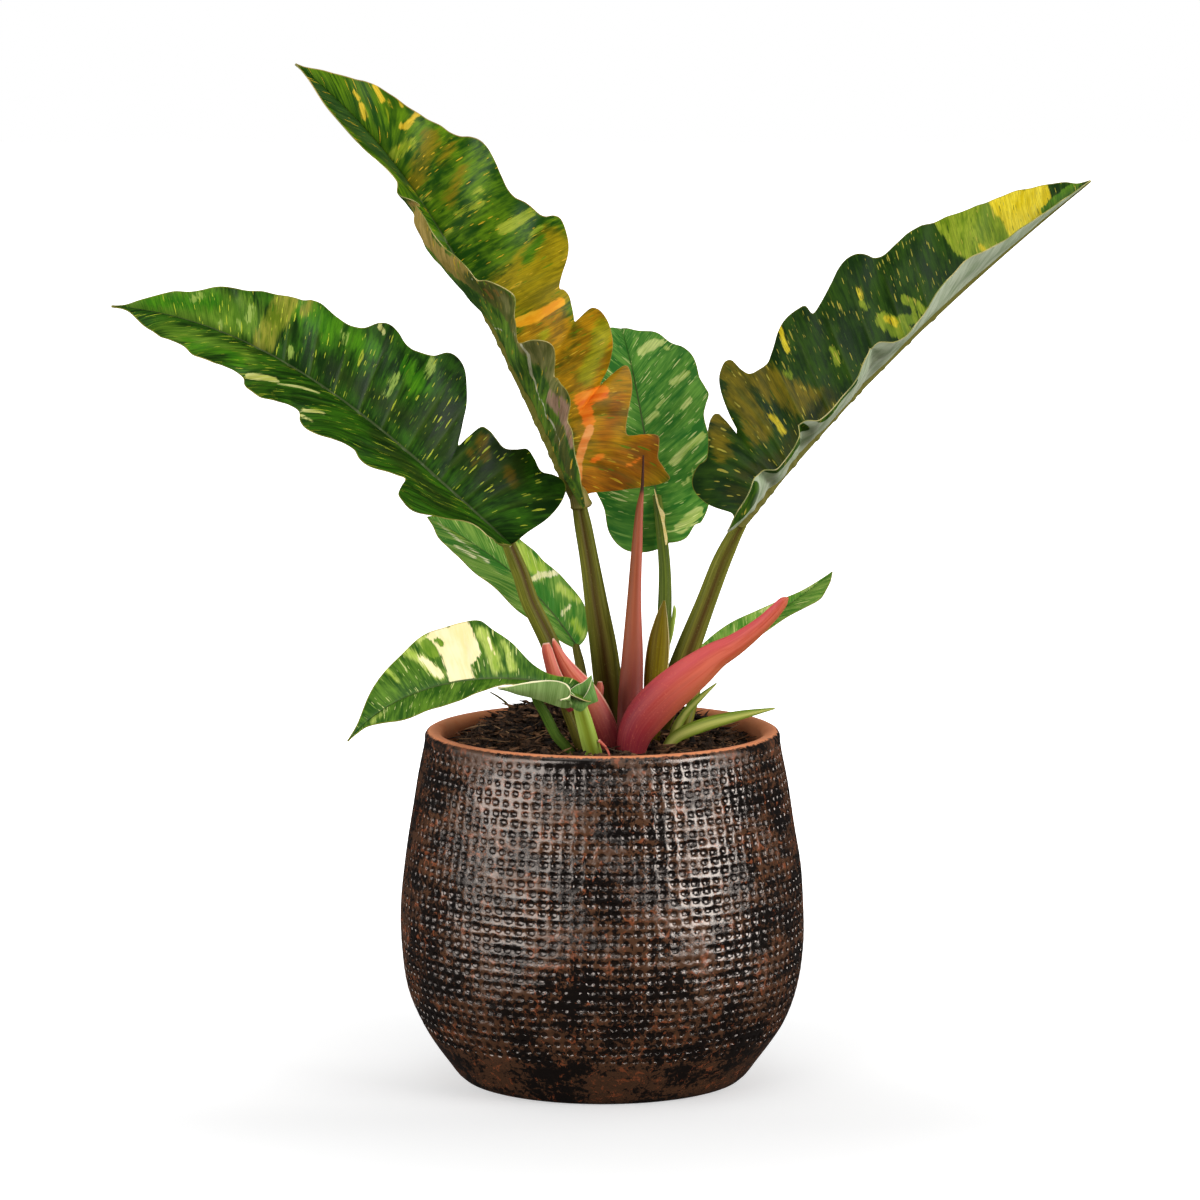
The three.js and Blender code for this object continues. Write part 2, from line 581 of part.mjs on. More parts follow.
const SHOOTS = {
  sheath_centre: {
    rows: [[25, -6, 386, 0.5], [24.2, -6.6, 365, 1.1], [22.8, -7, 354, 2.2], [21.2, -8, 331, 3.3],
      [19.4, -8, 297, 4.4], [18.4, -9, 262, 6.6], [17, -10, 229, 7.8], [17, -10, 212, 7.8]],
    foot: 7.6, lean: [1, 1], flat: 0.85, steps: 16,
  },
  sheath_right: {
    rows: [[112, -62, 305, 0.7], [97, -57, 292, 4], [88, -53, 283, 5], [79, -50, 276, 6.2],
      [66, -46, 266, 8.2], [53, -42, 255, 10.2], [45, -40, 249, 11.4], [33, -37, 238, 12.6],
      [24, -34, 224, 11.2], [22, -32, 208, 9.6]],
    foot: 8.8, lean: [-2, 2], flat: 0.75, steps: 18,
  },
  sheath_left: {
    rows: [[-34, -34, 275, 2.4], [-26, -32, 260, 6.4], [-14, -29, 245, 8.4], [-5, -26, 230, 7.6],
      [1, -24, 211, 6.8]],
    foot: 6.6, lean: [1, 2], flat: 0.8, steps: 10,
  },
  bud: {
    rows: [[38, -2, 296, 0.6], [36.4, -2, 286, 3.6], [34.6, -2, 270, 6.6], [32.8, -2, 250, 7.3],
      [31, -2, 228, 5.4], [31, -2, 212, 4.6]],
    foot: 4.4, lean: [-1, 1], flat: 0.8, steps: 12,
  },
  bract_right_long: {
    rows: [[105, -34, 234, 0.6], [81, -30.5, 228.5, 3.2], [60, -27, 222, 4.2], [44, -24, 214, 3.8],
      [38.5, -22.5, 205, 3]],
    foot: 2.8, lean: [-1, 3], flat: 0.55, steps: 10,
  },
  bract_right_short: {
    rows: [[70, -11, 246, 0.5], [60, -10, 237, 1.9], [50, -9, 226, 2.6], [44, -8.5, 214, 2.8]],
    foot: 2.6, lean: [-2, 1], flat: 0.7, steps: 8,
  },
  bract_left: {
    rows: [[-39, -36, 240, 2.6], [-31, -35, 226, 3.6], [-19, -34, 209, 4]],
    foot: 3.6, lean: [3, 3], flat: 0.9, steps: 6,
  },
  bract_left_inner: {
    rows: [[-25.5, -30, 237, 2.6], [-19, -29.2, 223, 3.4], [-12.5, -28.4, 209, 3.5]],
    foot: 3.4, lean: [3, 3], flat: 0.9, steps: 6,
  },
  crown_stump: {
    rows: [[9, 23, 232, 4.4], [9, 23, 224, 5.6], [9, 23, 214, 5.8], [9, 23, 206, 5.8]],
    foot: 5.8, lean: [0, 0], flat: 1, steps: 5,
  },
};

function stalkGeometry(stalk, extra = 0) {
  const rows = rooted(stalk.rows, stalk.foot, stalk.lean);
  return stemGeometry(rows, { sides: 10, steps: 9, groove: stalk.groove, extra });
}

function shootGeometry(shoot, extra = 0) {
  const rows = rooted(shoot.rows, shoot.foot, shoot.lean);
  return stemGeometry(rows, { sides: 8, steps: shoot.steps, flat: shoot.flat, extra });
}

// Pot: one fired clay shell, with rows of dimples pressed all round its outside

function dimpleAt(column, row) {
  return column % 2 === 1 && row % 2 === 1 ? DIMPLE_DEPTH : 0;
}

function potGeometry() {
  const sides = 2 * DIMPLES_ROUND;
  const rings = [];
  const ring = (z, radius, relief = () => 0) => rings.push({ z, radius, relief });
  POT_INSIDE.forEach(([z, radius]) => ring(z, radius));
  LIP_RINGS.forEach(([z, radius]) => ring(z, radius));
  const dimpleRings = 2 * DIMPLE_ROWS;
  for (let row = 0; row <= dimpleRings; row += 1) {
    const z = DIMPLES_TO + (DIMPLES_FROM - DIMPLES_TO) * row / dimpleRings;
    ring(z, through(POT_SIDE, z), (column) => dimpleAt(column, row));
  }
  FOOT_RINGS.forEach((z) => ring(z, through(POT_SIDE, z)));
  ring(0, FOOT_RADIUS);
  const points = [];
  for (const { z, radius, relief } of rings) {
    for (let j = 0; j < sides; j += 1) {
      const turn = 2 * Math.PI * j / sides;
      const r = radius - relief(j);
      points.push([r * Math.cos(turn), r * Math.sin(turn), z]);
    }
  }
  points.push([0, 0, POT_FLOOR], [0, 0, 0]);
  const faces = ringFaces(rings.length, sides, points.length - 2, points.length - 1);
  return geometryFrom(points, faces.map(([a, b, c]) => [a, c, b]));
}

// Soil: fills the pot to a little under the rim, mounded toward the back, with a plain hole for each foot

const MOUND = { height: 19, x: -8, y: 42, halfWidth: 75, halfDepth: 44 };
const LEFT_RISE = 0.03;
const COARSE_LUMPS = { height: 1.6, x: 9, y: 8, phase: 1.3 };
const FINE_LUMPS = { height: 1.2, length: 6.5 };

function soilHeight(x, y) {
  const edge = Math.min(1, Math.hypot(x, y) / RIM_INNER_RADIUS);
  const sideways = (x - MOUND.x) / MOUND.halfWidth;
  const backward = (y - MOUND.y) / MOUND.halfDepth;
  const mound = MOUND.height * Math.exp(-(sideways ** 2) - (backward ** 2));
  const rise = LEFT_RISE * Math.max(0, -x);
  const coarse = Math.sin(x / COARSE_LUMPS.x + COARSE_LUMPS.phase) * Math.cos(y / COARSE_LUMPS.y);
  const fine = Math.sin((x + y) / FINE_LUMPS.length);
  const lumps = COARSE_LUMPS.height * coarse + FINE_LUMPS.height * fine;
  return SOIL_EDGE + (mound + rise + lumps) * (1 - edge ** 4);
}

function soilGeometry() {
  const rings = SOIL_RINGS.map((part) => ({ radius: SOIL_WALL_RADIUS * part }));
  const wall = POT_INSIDE.filter(([z]) => z < SOIL_EDGE - 5).reverse();
  wall.forEach(([z, radius]) => {
    const bottom = z === POT_FLOOR;
    const reach = (radius - CLEARANCE) * Math.cos(Math.PI / SOIL_SIDES);
    rings.push({ radius: reach, z: bottom ? z + CLEARANCE : z });
  });
  const points = [];
  for (const { radius, z } of rings) {
    for (let j = 0; j < SOIL_SIDES; j += 1) {
      const turn = 2 * Math.PI * j / SOIL_SIDES;
      const x = radius * Math.cos(turn);
      const y = radius * Math.sin(turn);
      points.push([x, y, z ?? soilHeight(x, y)]);
    }
  }
  points.push([0, 0, soilHeight(0, 0)], [0, 0, POT_FLOOR + CLEARANCE]);
  const faces = ringFaces(rings.length, SOIL_SIDES, points.length - 2, points.length - 1);
  let soil = toSolid(geometryFrom(points, faces.map(([a, b, c]) => [a, c, b])));
  for (const stalk of Object.values(STALKS)) {
    soil = soil.subtract(toSolid(stalkGeometry(stalk, CLEARANCE)));
  }
  for (const shoot of Object.values(SHOOTS)) {
    soil = soil.subtract(toSolid(shootGeometry(shoot, CLEARANCE)));
  }
  return toGeometry(soil);
}

// Materials

const COLOURS = {
  glaze: 0x3a2418, soil: 0x2b1d14, green: 0x2f6a1c, amber: 0x8a7014, cream: 0x8fae4c, pale: 0x5f9a40,
  stalk: 0x6b7a35, lime: 0x9aab2f, coral: 0xd0605a, magenta: 0xb04f58, olive: 0x7a6a18, bark: 0x5a4630,
};

function finish(colour, roughness) {
  return new THREE.MeshStandardMaterial({
    color: COLOURS[colour], roughness, metalness: 0, side: THREE.FrontSide,
  });
}

// Assembly

const plant = new THREE.Group();

function place(name, geometry, colour, roughness) {
  geometry.computeVertexNormals();
  const mesh = new THREE.Mesh(geometry, finish(colour, roughness));
  mesh.name = name;
  plant.add(mesh);
}

place('pot', potGeometry(), 'glaze', 0.35);
place('soil', soilGeometry(), 'soil', 0.95);

const LEAF_COLOURS = {
  left: 'green', tall: 'amber', right: 'green', back: 'pale', shaded: 'pale', cream: 'cream', side: 'pale',
};
const SMALL_LEAF = { spacing: 0.03, rows: [1, 0.65, 0.32] };
const LARGE_LEAVES = ['left', 'tall', 'right'];
for (const [name, leaf] of Object.entries(LEAVES)) {
  const options = LARGE_LEAVES.includes(name) ? {} : SMALL_LEAF;
  place(`blade_${name}`, leafGeometry(leaf, STALKS[name].top, options), LEAF_COLOURS[name], 0.4);
}

for (const [name, stalk] of Object.entries(STALKS)) {
  place(`stalk_${name}`, stalkGeometry(stalk), name === 'cream' ? 'lime' : 'stalk', 0.45);
}

const SHOOT_COLOURS = {
  sheath_centre: 'magenta', sheath_right: 'coral', sheath_left: 'coral', bud: 'olive',
  bract_right_long: 'lime', bract_right_short: 'lime', bract_left: 'stalk', bract_left_inner: 'stalk',
  crown_stump: 'bark',
};
for (const [name, shoot] of Object.entries(SHOOTS)) {
  place(name, shootGeometry(shoot), SHOOT_COLOURS[name], 0.5);
}

export default plant;
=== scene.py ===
"""Builds the looks of a potted ring of fire philodendron around its CAD frame.

Seven lobed and flecked leaves, pink sheaths and a bud stand in bark soil, in a dimpled clay pot.
Tables are in millimetres, in the CAD frame: +Z up, the front faces -Y, the foot of the pot at 0.
"""

import math

import bpy
import numpy as np
from bpy.props import FloatProperty, FloatVectorProperty, IntProperty, PointerProperty
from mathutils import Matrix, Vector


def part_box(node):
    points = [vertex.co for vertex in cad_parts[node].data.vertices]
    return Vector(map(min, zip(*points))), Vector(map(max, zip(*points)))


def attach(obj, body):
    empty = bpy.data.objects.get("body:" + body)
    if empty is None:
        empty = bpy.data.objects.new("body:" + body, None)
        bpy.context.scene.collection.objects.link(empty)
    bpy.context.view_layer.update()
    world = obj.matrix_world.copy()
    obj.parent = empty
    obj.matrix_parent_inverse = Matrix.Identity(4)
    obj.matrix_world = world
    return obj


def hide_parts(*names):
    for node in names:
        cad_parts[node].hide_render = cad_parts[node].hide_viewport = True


bl_info = {
    "name": "Potted philodendron",
    "version": (1, 0, 0),
    "blender": (4, 5, 0),
    "location": "3D View > Sidebar > Plant",
    "description": "Models a potted philodendron around its frame",
    "category": "Add Mesh",
}

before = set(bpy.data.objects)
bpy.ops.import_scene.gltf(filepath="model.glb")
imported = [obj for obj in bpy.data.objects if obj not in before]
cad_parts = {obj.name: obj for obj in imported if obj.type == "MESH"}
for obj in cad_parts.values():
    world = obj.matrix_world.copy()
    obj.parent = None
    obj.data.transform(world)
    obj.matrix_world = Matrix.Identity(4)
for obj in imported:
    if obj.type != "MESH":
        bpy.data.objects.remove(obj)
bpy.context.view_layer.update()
POT_LOW, POT_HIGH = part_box("pot")
MM = 0.001

# Leaves. The patterns on stems and leaves follow flat coordinates, in units of 10 mm.

FLAT_UNIT = 10.0
SMALL_LEAF_FACES = 0.6  # a small leaf's faces along and across, as a share of a large one's
LARGE_LEAVES = ("left", "tall", "right")
BASE_CROWDING = 1.3  # powers that crowd the faces to the base and to the rib
RIB_CROWDING = 1.35
FULL_WAVE_WIDTH = 30  # a half this wide has its full waves
RIB_TAPER = 0.8
RIB_CHANNEL = 0.42  # these three are shares of the rib's radius
KEEL_WIDTH = 1.25
KEEL_BAND = 2.1
RIB_SINK = 0.8
LEAST_LOBE = 8
LOBE_SAMPLES = 61
LOBE_SPAN = 11
VEIN_WIDTH = 1.3
VEIN_RIDGE = 0.35
VEIN_FADE = (1.0, 0.55)  # from the edge, as shares of the half's width
RIDGE_RISE = (4, 12)
PUCKER_WIDTH = 7.0
PUCKER_HEIGHT = 0.7
PUCKER_SKEW = 0.7
BLADE_SWELL = 0.5
SWELL_SIZE = 34
EDGE_FLUTTER = 0.6
FLUTTER_SIZE = 26
EDGE_THINNESS = 0.65
EDGE_BAND = 4
FAR_OUTSIDE = 60.0
LEAST_CURL = 1e-4  # in radians: a flat half is curled by this much, so nothing is divided by 0

# Stems and flaps

THINNEST_STEM = 0.4
GROOVE_POWER = 8  # how narrow a groove and the stripe of colour in it are
STRIPE_POWER = 6
SMALL_STEM_FACES = {"steps": 40, "sides": 20}
FLAP_FACES = (64, 14)
PALE_BAND = (0.86, 0.94)  # how far round the pale margins begin, and how far down they end
PALE_REACH = (0.9, 0.6)
MARGIN_AT_START = 0.3  # as a share of the margin's full width
MARGIN_SOFTNESS = 0.4
FLAP_FULL_BULGE = 8  # a flap this wide has its full bulge

# Pot

BELLY_RADIUS = 125
FOOT_RADIUS = 87
POT_FLOOR = 16
DIMPLES_FROM = 28
DIMPLES_TO = 212
FACES_PER_DIMPLE = 5
DIMPLE_JITTER = 0.09  # this and the next four are shares of a dimple's cell
HOLE_RADIUS = 0.32
HOLE_SPREAD = 0.06
HOLE_SLOPE = (0.1, -0.16)
CORD_WIDTH = 0.3
HOLE_ROUNDNESS = 2.2  # a power: 2 is round, and more is squarer
CORD_HEIGHT = 0.1
HOLE_FADE = 0.8  # in rows, at the top and the bottom of the dimples
FAINTEST_HOLE = 0.45  # as a share of the full depth, where the dimples fade
FADE_SIZE = 60
JITTER_KEYS = ((563.73, 3417.34, 1647.49), (179.17, 1455.21, 4007.29))  # these stir the jitter
WALL_WOBBLE = 0.35
WOBBLE_SIZE = 42
WOBBLE_ENDS = (12, 8)  # it dies out this close to the foot and to the top
POT_SIDE = [
    (0, FOOT_RADIUS), (3, 90.5), (10, 96), (20, 103.6), (30, 110), (43, 116), (56, 120.4),
    (70, 123.3), (90, BELLY_RADIUS), (110, 124.6), (134, 122.4), (160, 118.4), (185, 113.9),
    (205, 110.2), (210, 109.6),
]
POT_INSIDE = [(POT_FLOOR, 82), (40, 102), (90, 115), (140, 111.5), (197, 101.5), (208, 99)]
# The lip's rows go from its top: the last of them wear the glaze
LIP = [
    (-4.5, 99), (-2.4, 99.5), (-1.0, 100.8), (-0.2, 102.6), (0, 104.6), (-0.2, 106.6),
    (-1.2, 108.4), (-2.8, 109.4),
]
GLAZED_LIP_ROWS = 3
FOOT_ROWS = [24, 20, 15, 10, 6, 3, 1, 0]
# In metres: where the glaze would end above the lip's top, how far it hangs short, and its border
GLAZE_END = 0.0007
GLAZE_RAGGEDNESS = 0.003
GLAZE_BORDER = 0.0004

# Soil

SOIL_RADIUS = 99.2
SOIL_FACES = 170
SOIL_DEPTH = 90
SOIL_EDGE_DROP = 9
SOIL_RIM_BAND = 4
SOIL_FOOT_SHARE = 0.95  # its foot's width as a share of its top's
SOIL_CLEARANCE = 0.5  # above the pot's floor
SOIL_GRAINS = ((13, 20, 1.6), (7, 21, 1.8), (3, 22, 1.1))  # size, seed and height
MOUND = {"height": 27, "x": -4, "y": 56, "half_width": 84, "half_depth": 46}
LITTER_RADIUS = 91
LITTER_MARGIN = 1.5
SLIVER_TAPER = 0.75
SLIVER_SAG = 0.4
LARGEST_ROLL = 0.9
BARK_CHIPS = {
    "length": (7, 19), "width": (1.1, 3.4), "flat": 0.45, "tilt": 10, "bend": 0.35, "lift": (-0.8, 3.4),
    "faces": (5, 5),
}
BARK_FIBRES = {
    "length": (10, 34), "width": (0.5, 1.1), "flat": 0.7, "tilt": 9, "bend": 0.32, "lift": (1, 3.8),
    "faces": (8, 4),
}

# Finishes. Streaks and flecks are given by the width and length of their cells, in flat units, and
# flecks also by how often a cell holds one and how strong it is.

HAIR_STREAKS = (0.06, 1.4)
BROAD_STREAKS = (0.28, 2.0)
ZONE_STREAKS = (1.6, 2.6)
STEM_HAIR = (0.07, 5.0)
STALK_STREAKS = (0.4, 9.0)
SHEATH_STREAKS = (0.4, 6.0)
FLECK_SIZES = ((0.36, 1.8, 0.08, 0.7), (0.13, 1.2, 0.9, 0.85), (0.085, 0.65, 0.9, 0.8))
FLESH_GLOSS = 0.1
SHEATH_GLOSS = 0.16
FLESH_BUMP = 0.0004
UNDERSIDE_BLOOM = 0.4
# Two shades of the flesh, then the shade of the groove, which also paints shade at the foot, and the
# shade of the margin
STEM_SHADES = {
    "back stalk": ("#3f5218", "#6e7c2c", "#3a3c12", "#d9c795"),
    "brown stalk": ("#4a4616", "#6b6426", "#3a2810", "#d9c795"),
    "young stalk": ("#8aa43a", "#b0c860", "#6f7a1c", "#d9c795"),
    "green bract": ("#4e6e18", "#93a638", "#c0c468", "#d9c795"),
    "dark bract": ("#3c5a1c", "#5c7a2c", "#4c5c24", "#d9c795"),
    "bud skin": ("#5e4e0c", "#80700e", "#54460a", "#d9c795"),
    "dry bark": ("#3a2a1c", "#6a523c", "#20140c", "#d9c795"),
    "collar": ("#6a682a", "#98864c", "#4c4418", "#d9c795"),
    "leaf ear": ("#4f7f38", "#7ca254", "#3f6a20", "#f4ecc0"),
    "leaf roll": ("#5f7c3c", "#86a05e", "#5c8634", "#f4ecc0"),
    "cream strip": ("#e8cc74", "#f4e2a0", "#b8a050", "#f4e2a0"),
}
# Body, light streaks, foot, upper flank with its painted highlight and lower flank, then the colour of
# the tip and its reach
SHEATH_SHADES = {
    "coral sheath": (("#c04a38", "#d86c54", "#7c1f30", "#cc5058", "#cc7446"), ("#c4664c", 0.01, 0.12)),
    "left sheath": (("#c0543f", "#dc8468", "#7c2030", "#b45042", "#cc6460"), ("#e8b49c", 0.01, 0.05)),
    "old sheath": (("#90482e", "#a0583a", "#7e3438", "#8a5030", "#c46a58"), ("#4a2a20", 0.12, 0.17)),
}

# Stage

CAMERA_POINT = (-1.5, -3000, 691)
CAMERA_TILT = 7.5
CAMERA_REACH = 100
PHOTO_SIZE = 1200
FOCAL_PIXELS = 4926
SENSOR = 36.0
FLOOR_DROP = 0.3
GLOW_REACH = (0.13, 1.0)
GLOW_DEPTH = (-0.15, 0.06)
LIT_POINT = (0, 0, 240)
# Each light: degrees from the camera to the right, height, distance, size and power
LIGHTS = {
    "left_box": (-54, 560, 2400, (2600, 1700), 66.0),
    "right_box": (60, 560, 2400, (1250, 1700), 62.0),
    "top_box": (0, 2600, 500, (2200, 2200), 16.0),
}

# Each leaf's rib is a curve through four control points. Its other tables go along the rib, in
# thousandths: how the flesh sweeps to the tip, and for each half its width, its fold and its curl
# from the face, how far its side veins lean to the tip, and the height, number and start of its waves.

LEAVES = {
    "left": {
        "rib": [(-58, -22, 334), (-124, -38, 397), (-196, -52, 473), (-293, -62, 481)],
        "face": (0.3, -0.77, 0.64),
        "rib_radius": 3.6,
        "sweep": {0: -50, 80: -10, 200: 12, 450: 25, 1000: 38},
        "right": {
            "width": {
                0: 4, 18: 15, 30: 30, 46: 48, 56: 54, 66: 53, 76: 50, 92: 53.5, 106: 54, 116: 48.5,
                130: 43, 150: 42, 170: 42.5, 183: 41, 193: 31, 200: 25, 207: 35, 217: 50, 230: 61,
                245: 67.5, 263: 69.5, 283: 66.5, 310: 57.5, 340: 55.3, 357: 57, 375: 61.5, 395: 61.8,
                420: 56.5, 450: 46.5, 475: 44, 500: 46.5, 530: 49.8, 555: 47, 580: 41.5, 620: 39.3,
                656: 39.4, 720: 30, 765: 26.7, 830: 19.8, 880: 12.8, 930: 7.5, 970: 2.1, 1000: 0.5,
            },
            "fold": {0: 34, 150: 26, 1000: 22},
            "curl": {0: -8, 1000: -8},
            "lean": {0: -0.2, 1000: -0.1},
            "wave": (4, 7, 0.1),
        },
        "left": {
            "width": {
                0: 3, 20: 10, 40: 16, 70: 30, 90: 38.5, 104: 36, 120: 35, 140: 38, 160: 46.5, 180: 53,
                200: 58, 222: 60.8, 234: 58, 242: 45, 248: 35, 262: 36, 283: 37.6, 310: 41, 335: 41,
                352: 39.5, 370: 44, 390: 52, 410: 56, 438: 52.7, 466: 45.5, 484: 39.5, 505: 43.5,
                523: 52, 543: 58.8, 571: 54, 600: 45, 618: 38.4, 640: 38.5, 660: 43, 680: 46.2, 720: 42,
                767: 32.4, 800: 35, 820: 35.5, 867: 23, 925: 11.8, 965: 3.8, 1000: 0.5,
            },
            "fold": {0: 60, 120: 44, 300: 28, 1000: 20},
            "curl": {0: -12, 1000: -8},
            "lean": {0: 1.6, 250: 1.6, 450: 1.1, 600: 0.6, 1000: 0.6},
            "wave": (4, 7, 0.5),
        },
    },
    "tall": {
        "rib": [(-17, 2, 359), (-62, -2, 453), (-101, -13, 558), (-184, -30, 624)],
        "face": (0.33, -0.8, 0.48),
        "rib_radius": 3.2,
        "sweep": {0: -45, 40: -10, 90: 18, 150: 30, 300: 34, 1000: 42},
        "right": {
            "width": {
                0: 8, 14: 12, 19: 35, 23: 60, 29: 60.5, 36: 58.5, 43: 62, 49: 64, 53: 56, 57: 47.8,
                63: 49, 70: 54, 77: 60, 85: 66.5, 95: 71, 103: 70, 107: 60, 110: 49.5, 114: 57, 120: 64,
                128: 69, 140: 71.5, 156: 73.2, 173: 73.6, 188: 72.5, 199: 69, 205: 62, 209: 56,
                219: 57.5, 230: 59.5, 247: 60.9, 268: 58.4, 281: 55.4, 292: 61.6, 298: 68.7, 307: 73.8,
                324: 78, 345: 80.9, 359: 78.7, 371: 74, 384: 71, 405: 67.8, 430: 63.5, 454: 58.7,
                473: 58.2, 493: 61, 516: 64.2, 540: 64.4, 565: 61.3, 590: 55.7, 608: 50.7, 627: 48,
                650: 46.8, 690: 40.5, 735: 33.8, 770: 32.6, 800: 31, 830: 26.5, 860: 20.4, 900: 14.5,
                935: 10, 977: 3, 1000: 0.5,
            },
            "fold": {0: 20, 1000: 20},
            "curl": {0: -8, 1000: -8},
            "lean": {0: -0.3, 200: -0.5, 550: -0.55, 700: -0.3, 850: 0.9, 1000: 1.4},
            "wave": (3, 7, 0.1),
        },
        "left": {
            "width": {
                0: 7, 20: 26, 45: 44, 70: 51, 88: 50, 100: 42, 108: 38, 118: 46, 135: 54, 150: 54,
                165: 50, 175: 45, 186: 51, 210: 58, 235: 58, 250: 50, 260: 46, 272: 53, 300: 60, 340: 61,
                370: 59, 385: 54, 400: 57, 450: 58, 500: 58, 545: 55, 566: 50, 574: 42, 585: 41, 610: 44,
                650: 40.5, 700: 35, 750: 30.5, 800: 26, 850: 20.5, 900: 14, 950: 7, 980: 3, 1000: 0.5,
            },
            "fold": {
                0: 56, 70: 64, 120: 78, 150: 72, 180: 76, 210: 76, 250: 58, 285: 58, 320: 64, 360: 55,
                400: 36, 460: 8, 560: 2, 600: 20, 640: 35, 750: 28, 900: 18, 1000: 30,
            },
            "curl": {0: 15, 300: 25, 380: 30, 450: 80, 570: 85, 620: 20, 1000: 0},
            "lean": {0: 0.2, 1000: 0.6},
            "wave": (0, 7, 0.6),
        },
    },
    "right": {
        "rib": [(86, 14, 343), (147, 12, 422), (220, -1, 491), (294, -25, 554)],
        "face": (-0.42, -0.78, 0.42),
        "rib_radius": 3.6,
        "sweep": {0: -55, 40: -20, 90: 12, 150: 26, 300: 32, 1000: 42},
        "left": {
            "width": {
                0: 6, 20: 10.4, 26: 24.7, 31: 33, 37: 40, 44: 44.3, 54: 46, 60: 44.4, 69: 50, 77: 57,
                85: 60.8, 91: 58, 94.5: 42, 99: 55, 103: 67, 108: 75.5, 114: 79.6, 121: 81.4, 129: 78.5,
                135: 70, 145: 63, 165: 59.7, 181: 59.4, 190: 62.6, 200: 67, 212: 72.7, 225: 76.1,
                243: 76.5, 268: 73.6, 286: 70, 294: 64, 300: 61.6, 313: 62.8, 330: 66.6, 346: 71.4,
                362: 76.1, 380: 78.5, 398: 77.1, 420: 72.3, 438: 66.8, 452: 61.8, 464: 59.6, 476: 59.2,
                500: 61.6, 528: 62.4, 562: 58.2, 600: 51.7, 630: 50.6, 665: 47.5, 697: 43.2, 730: 37.6,
                760: 35.4, 800: 33.2, 850: 24.2, 893: 17.8, 928: 12.9, 965: 5.1, 1000: 0.5,
            },
            "fold": {0: 16, 1000: 16},
            "curl": {0: -8, 1000: -8},
            "lean": {0: -0.15, 1000: -0.3},
            "wave": (3, 7, 0.1),
        },
        "right": {
            "width": {
                0: 6, 20: 24, 45: 43, 66: 51.5, 80: 52.5, 86: 46, 92: 50, 110: 54.5, 145: 57, 162: 54,
                170: 49, 179: 54, 200: 58, 250: 59, 300: 59.5, 345: 59, 362: 54, 370: 50, 380: 55.5,
                410: 57, 460: 55.3, 520: 53, 555: 51, 590: 45.5, 620: 45, 657: 42, 700: 37, 740: 32.7,
                800: 26, 860: 19.2, 920: 11, 965: 4.5, 1000: 0.5,
            },
            "fold": {
                0: 48, 70: 57, 88: 60, 100: 52, 146: 53, 170: 60, 190: 50, 250: 49, 300: 51, 345: 57,
                372: 60, 400: 50, 465: 49, 555: 57, 630: 62, 740: 56, 1000: 54,
            },
            "curl": {0: 20, 1000: 10},
            "lean": {0: 0.3, 1000: 0.5},
            "wave": (0, 7, 0.5),
        },
    },
    "back": {
        "rib": [(34, 66, 354), (25, 76, 392), (22, 99, 425), (12, 126, 453)],
        "face": (0, -0.85, 0.5),
        "rib_radius": 2.2,
        "sweep": {0: -92, 40: -66, 100: -38, 300: 5, 600: 25, 1000: 50},
        "right": {
            "width": {
                0: 31, 30: 36.5, 56: 36.2, 66: 38.8, 120: 39.5, 190: 40, 270: 39.5, 327: 39.6, 355: 42.2,
                383: 45.5, 410: 44.6, 465: 43, 524: 43.5, 566: 42.6, 613: 39.1, 666: 34.3, 758: 27.2,
                835: 17.7, 936: 7.6, 1000: 0.6,
            },
            "fold": {0: -6, 150: 4, 400: 12, 1000: 12},
            "curl": {0: 0, 1000: 0},
            "lean": {0: 0.8, 300: 0.45, 1000: 0.1},
            "wave": (2, 5, 0.2),
        },
        "left": {
            "width": {
                0: 31, 40: 42, 62: 46.3, 90: 45.4, 132: 39.4, 200: 40, 300: 40.5, 380: 43, 460: 41,
                560: 40, 650: 35, 750: 27.5, 850: 19, 948: 10, 1000: 0.6,
            },
            "fold": {0: -6, 150: 4, 400: 12, 1000: 12},
            "curl": {0: 0, 1000: 0},
            "lean": {0: 0.6, 1000: 0.3},
            "wave": (2, 5, 0.7),
        },
    },
    "shaded": {
        "rib": [(-17, 52, 261), (-39, 61, 295), (-73, 71, 320), (-110, 80, 338)],
        "face": (0.3, -0.8, 0.5),
        "rib_radius": 1.8,
        "sweep": {0: -40, 100: 0, 300: 20, 1000: 40},
        "right": {
            "width": {
                0: 3, 43: 10.6, 94: 17, 145: 20.8, 240: 21, 350: 20.7, 410: 22.4, 490: 21.9, 600: 22.4,
                700: 19, 800: 14, 900: 7.5, 1000: 0.5,
            },
            "fold": {0: 15, 1000: 15},
            "curl": {0: 0, 1000: 0},
            "lean": {0: 0.9, 1000: 0.9},
            "wave": (1.5, 4, 0.1),
        },
        "left": {
            "width": {
                0: 3, 100: 12, 200: 19.6, 260: 22.2, 415: 23.7, 560: 23.1, 670: 21.2, 750: 17.5, 830: 14,
                920: 6.5, 1000: 0.5,
            },
            "fold": {0: 15, 1000: 15},
            "curl": {0: 0, 1000: 0},
            "lean": {0: 1.6, 1000: 1.6},
            "wave": (1.5, 4, 0.6),
        },
    },
    "cream": {
        "rib": [(-11, -47, 245), (-56, -72, 266), (-119, -102, 265), (-150, -135, 230)],
        "face": (0.15, -0.6, 0.78),
        "rib_radius": 2.2,
        "sweep": {0: -40, 100: 0, 300: 20, 1000: 40},
        "right": {
            "width": {
                0: 3, 60: 7, 120: 6, 160: 7, 207: 12, 253: 23.5, 290: 32, 315: 38.4, 368: 38.6,
                440: 36.1, 510: 33.5, 584: 28.3, 678: 21.8, 779: 14.3, 889: 5.4, 937: 2.5, 1000: 0.5,
            },
            "fold": {0: 25, 1000: 25},
            "curl": {0: 0, 1000: 0},
            "lean": {0: -0.3, 1000: -0.3},
            "wave": (1, 4, 0.3),
        },
        "left": {
            "width": {
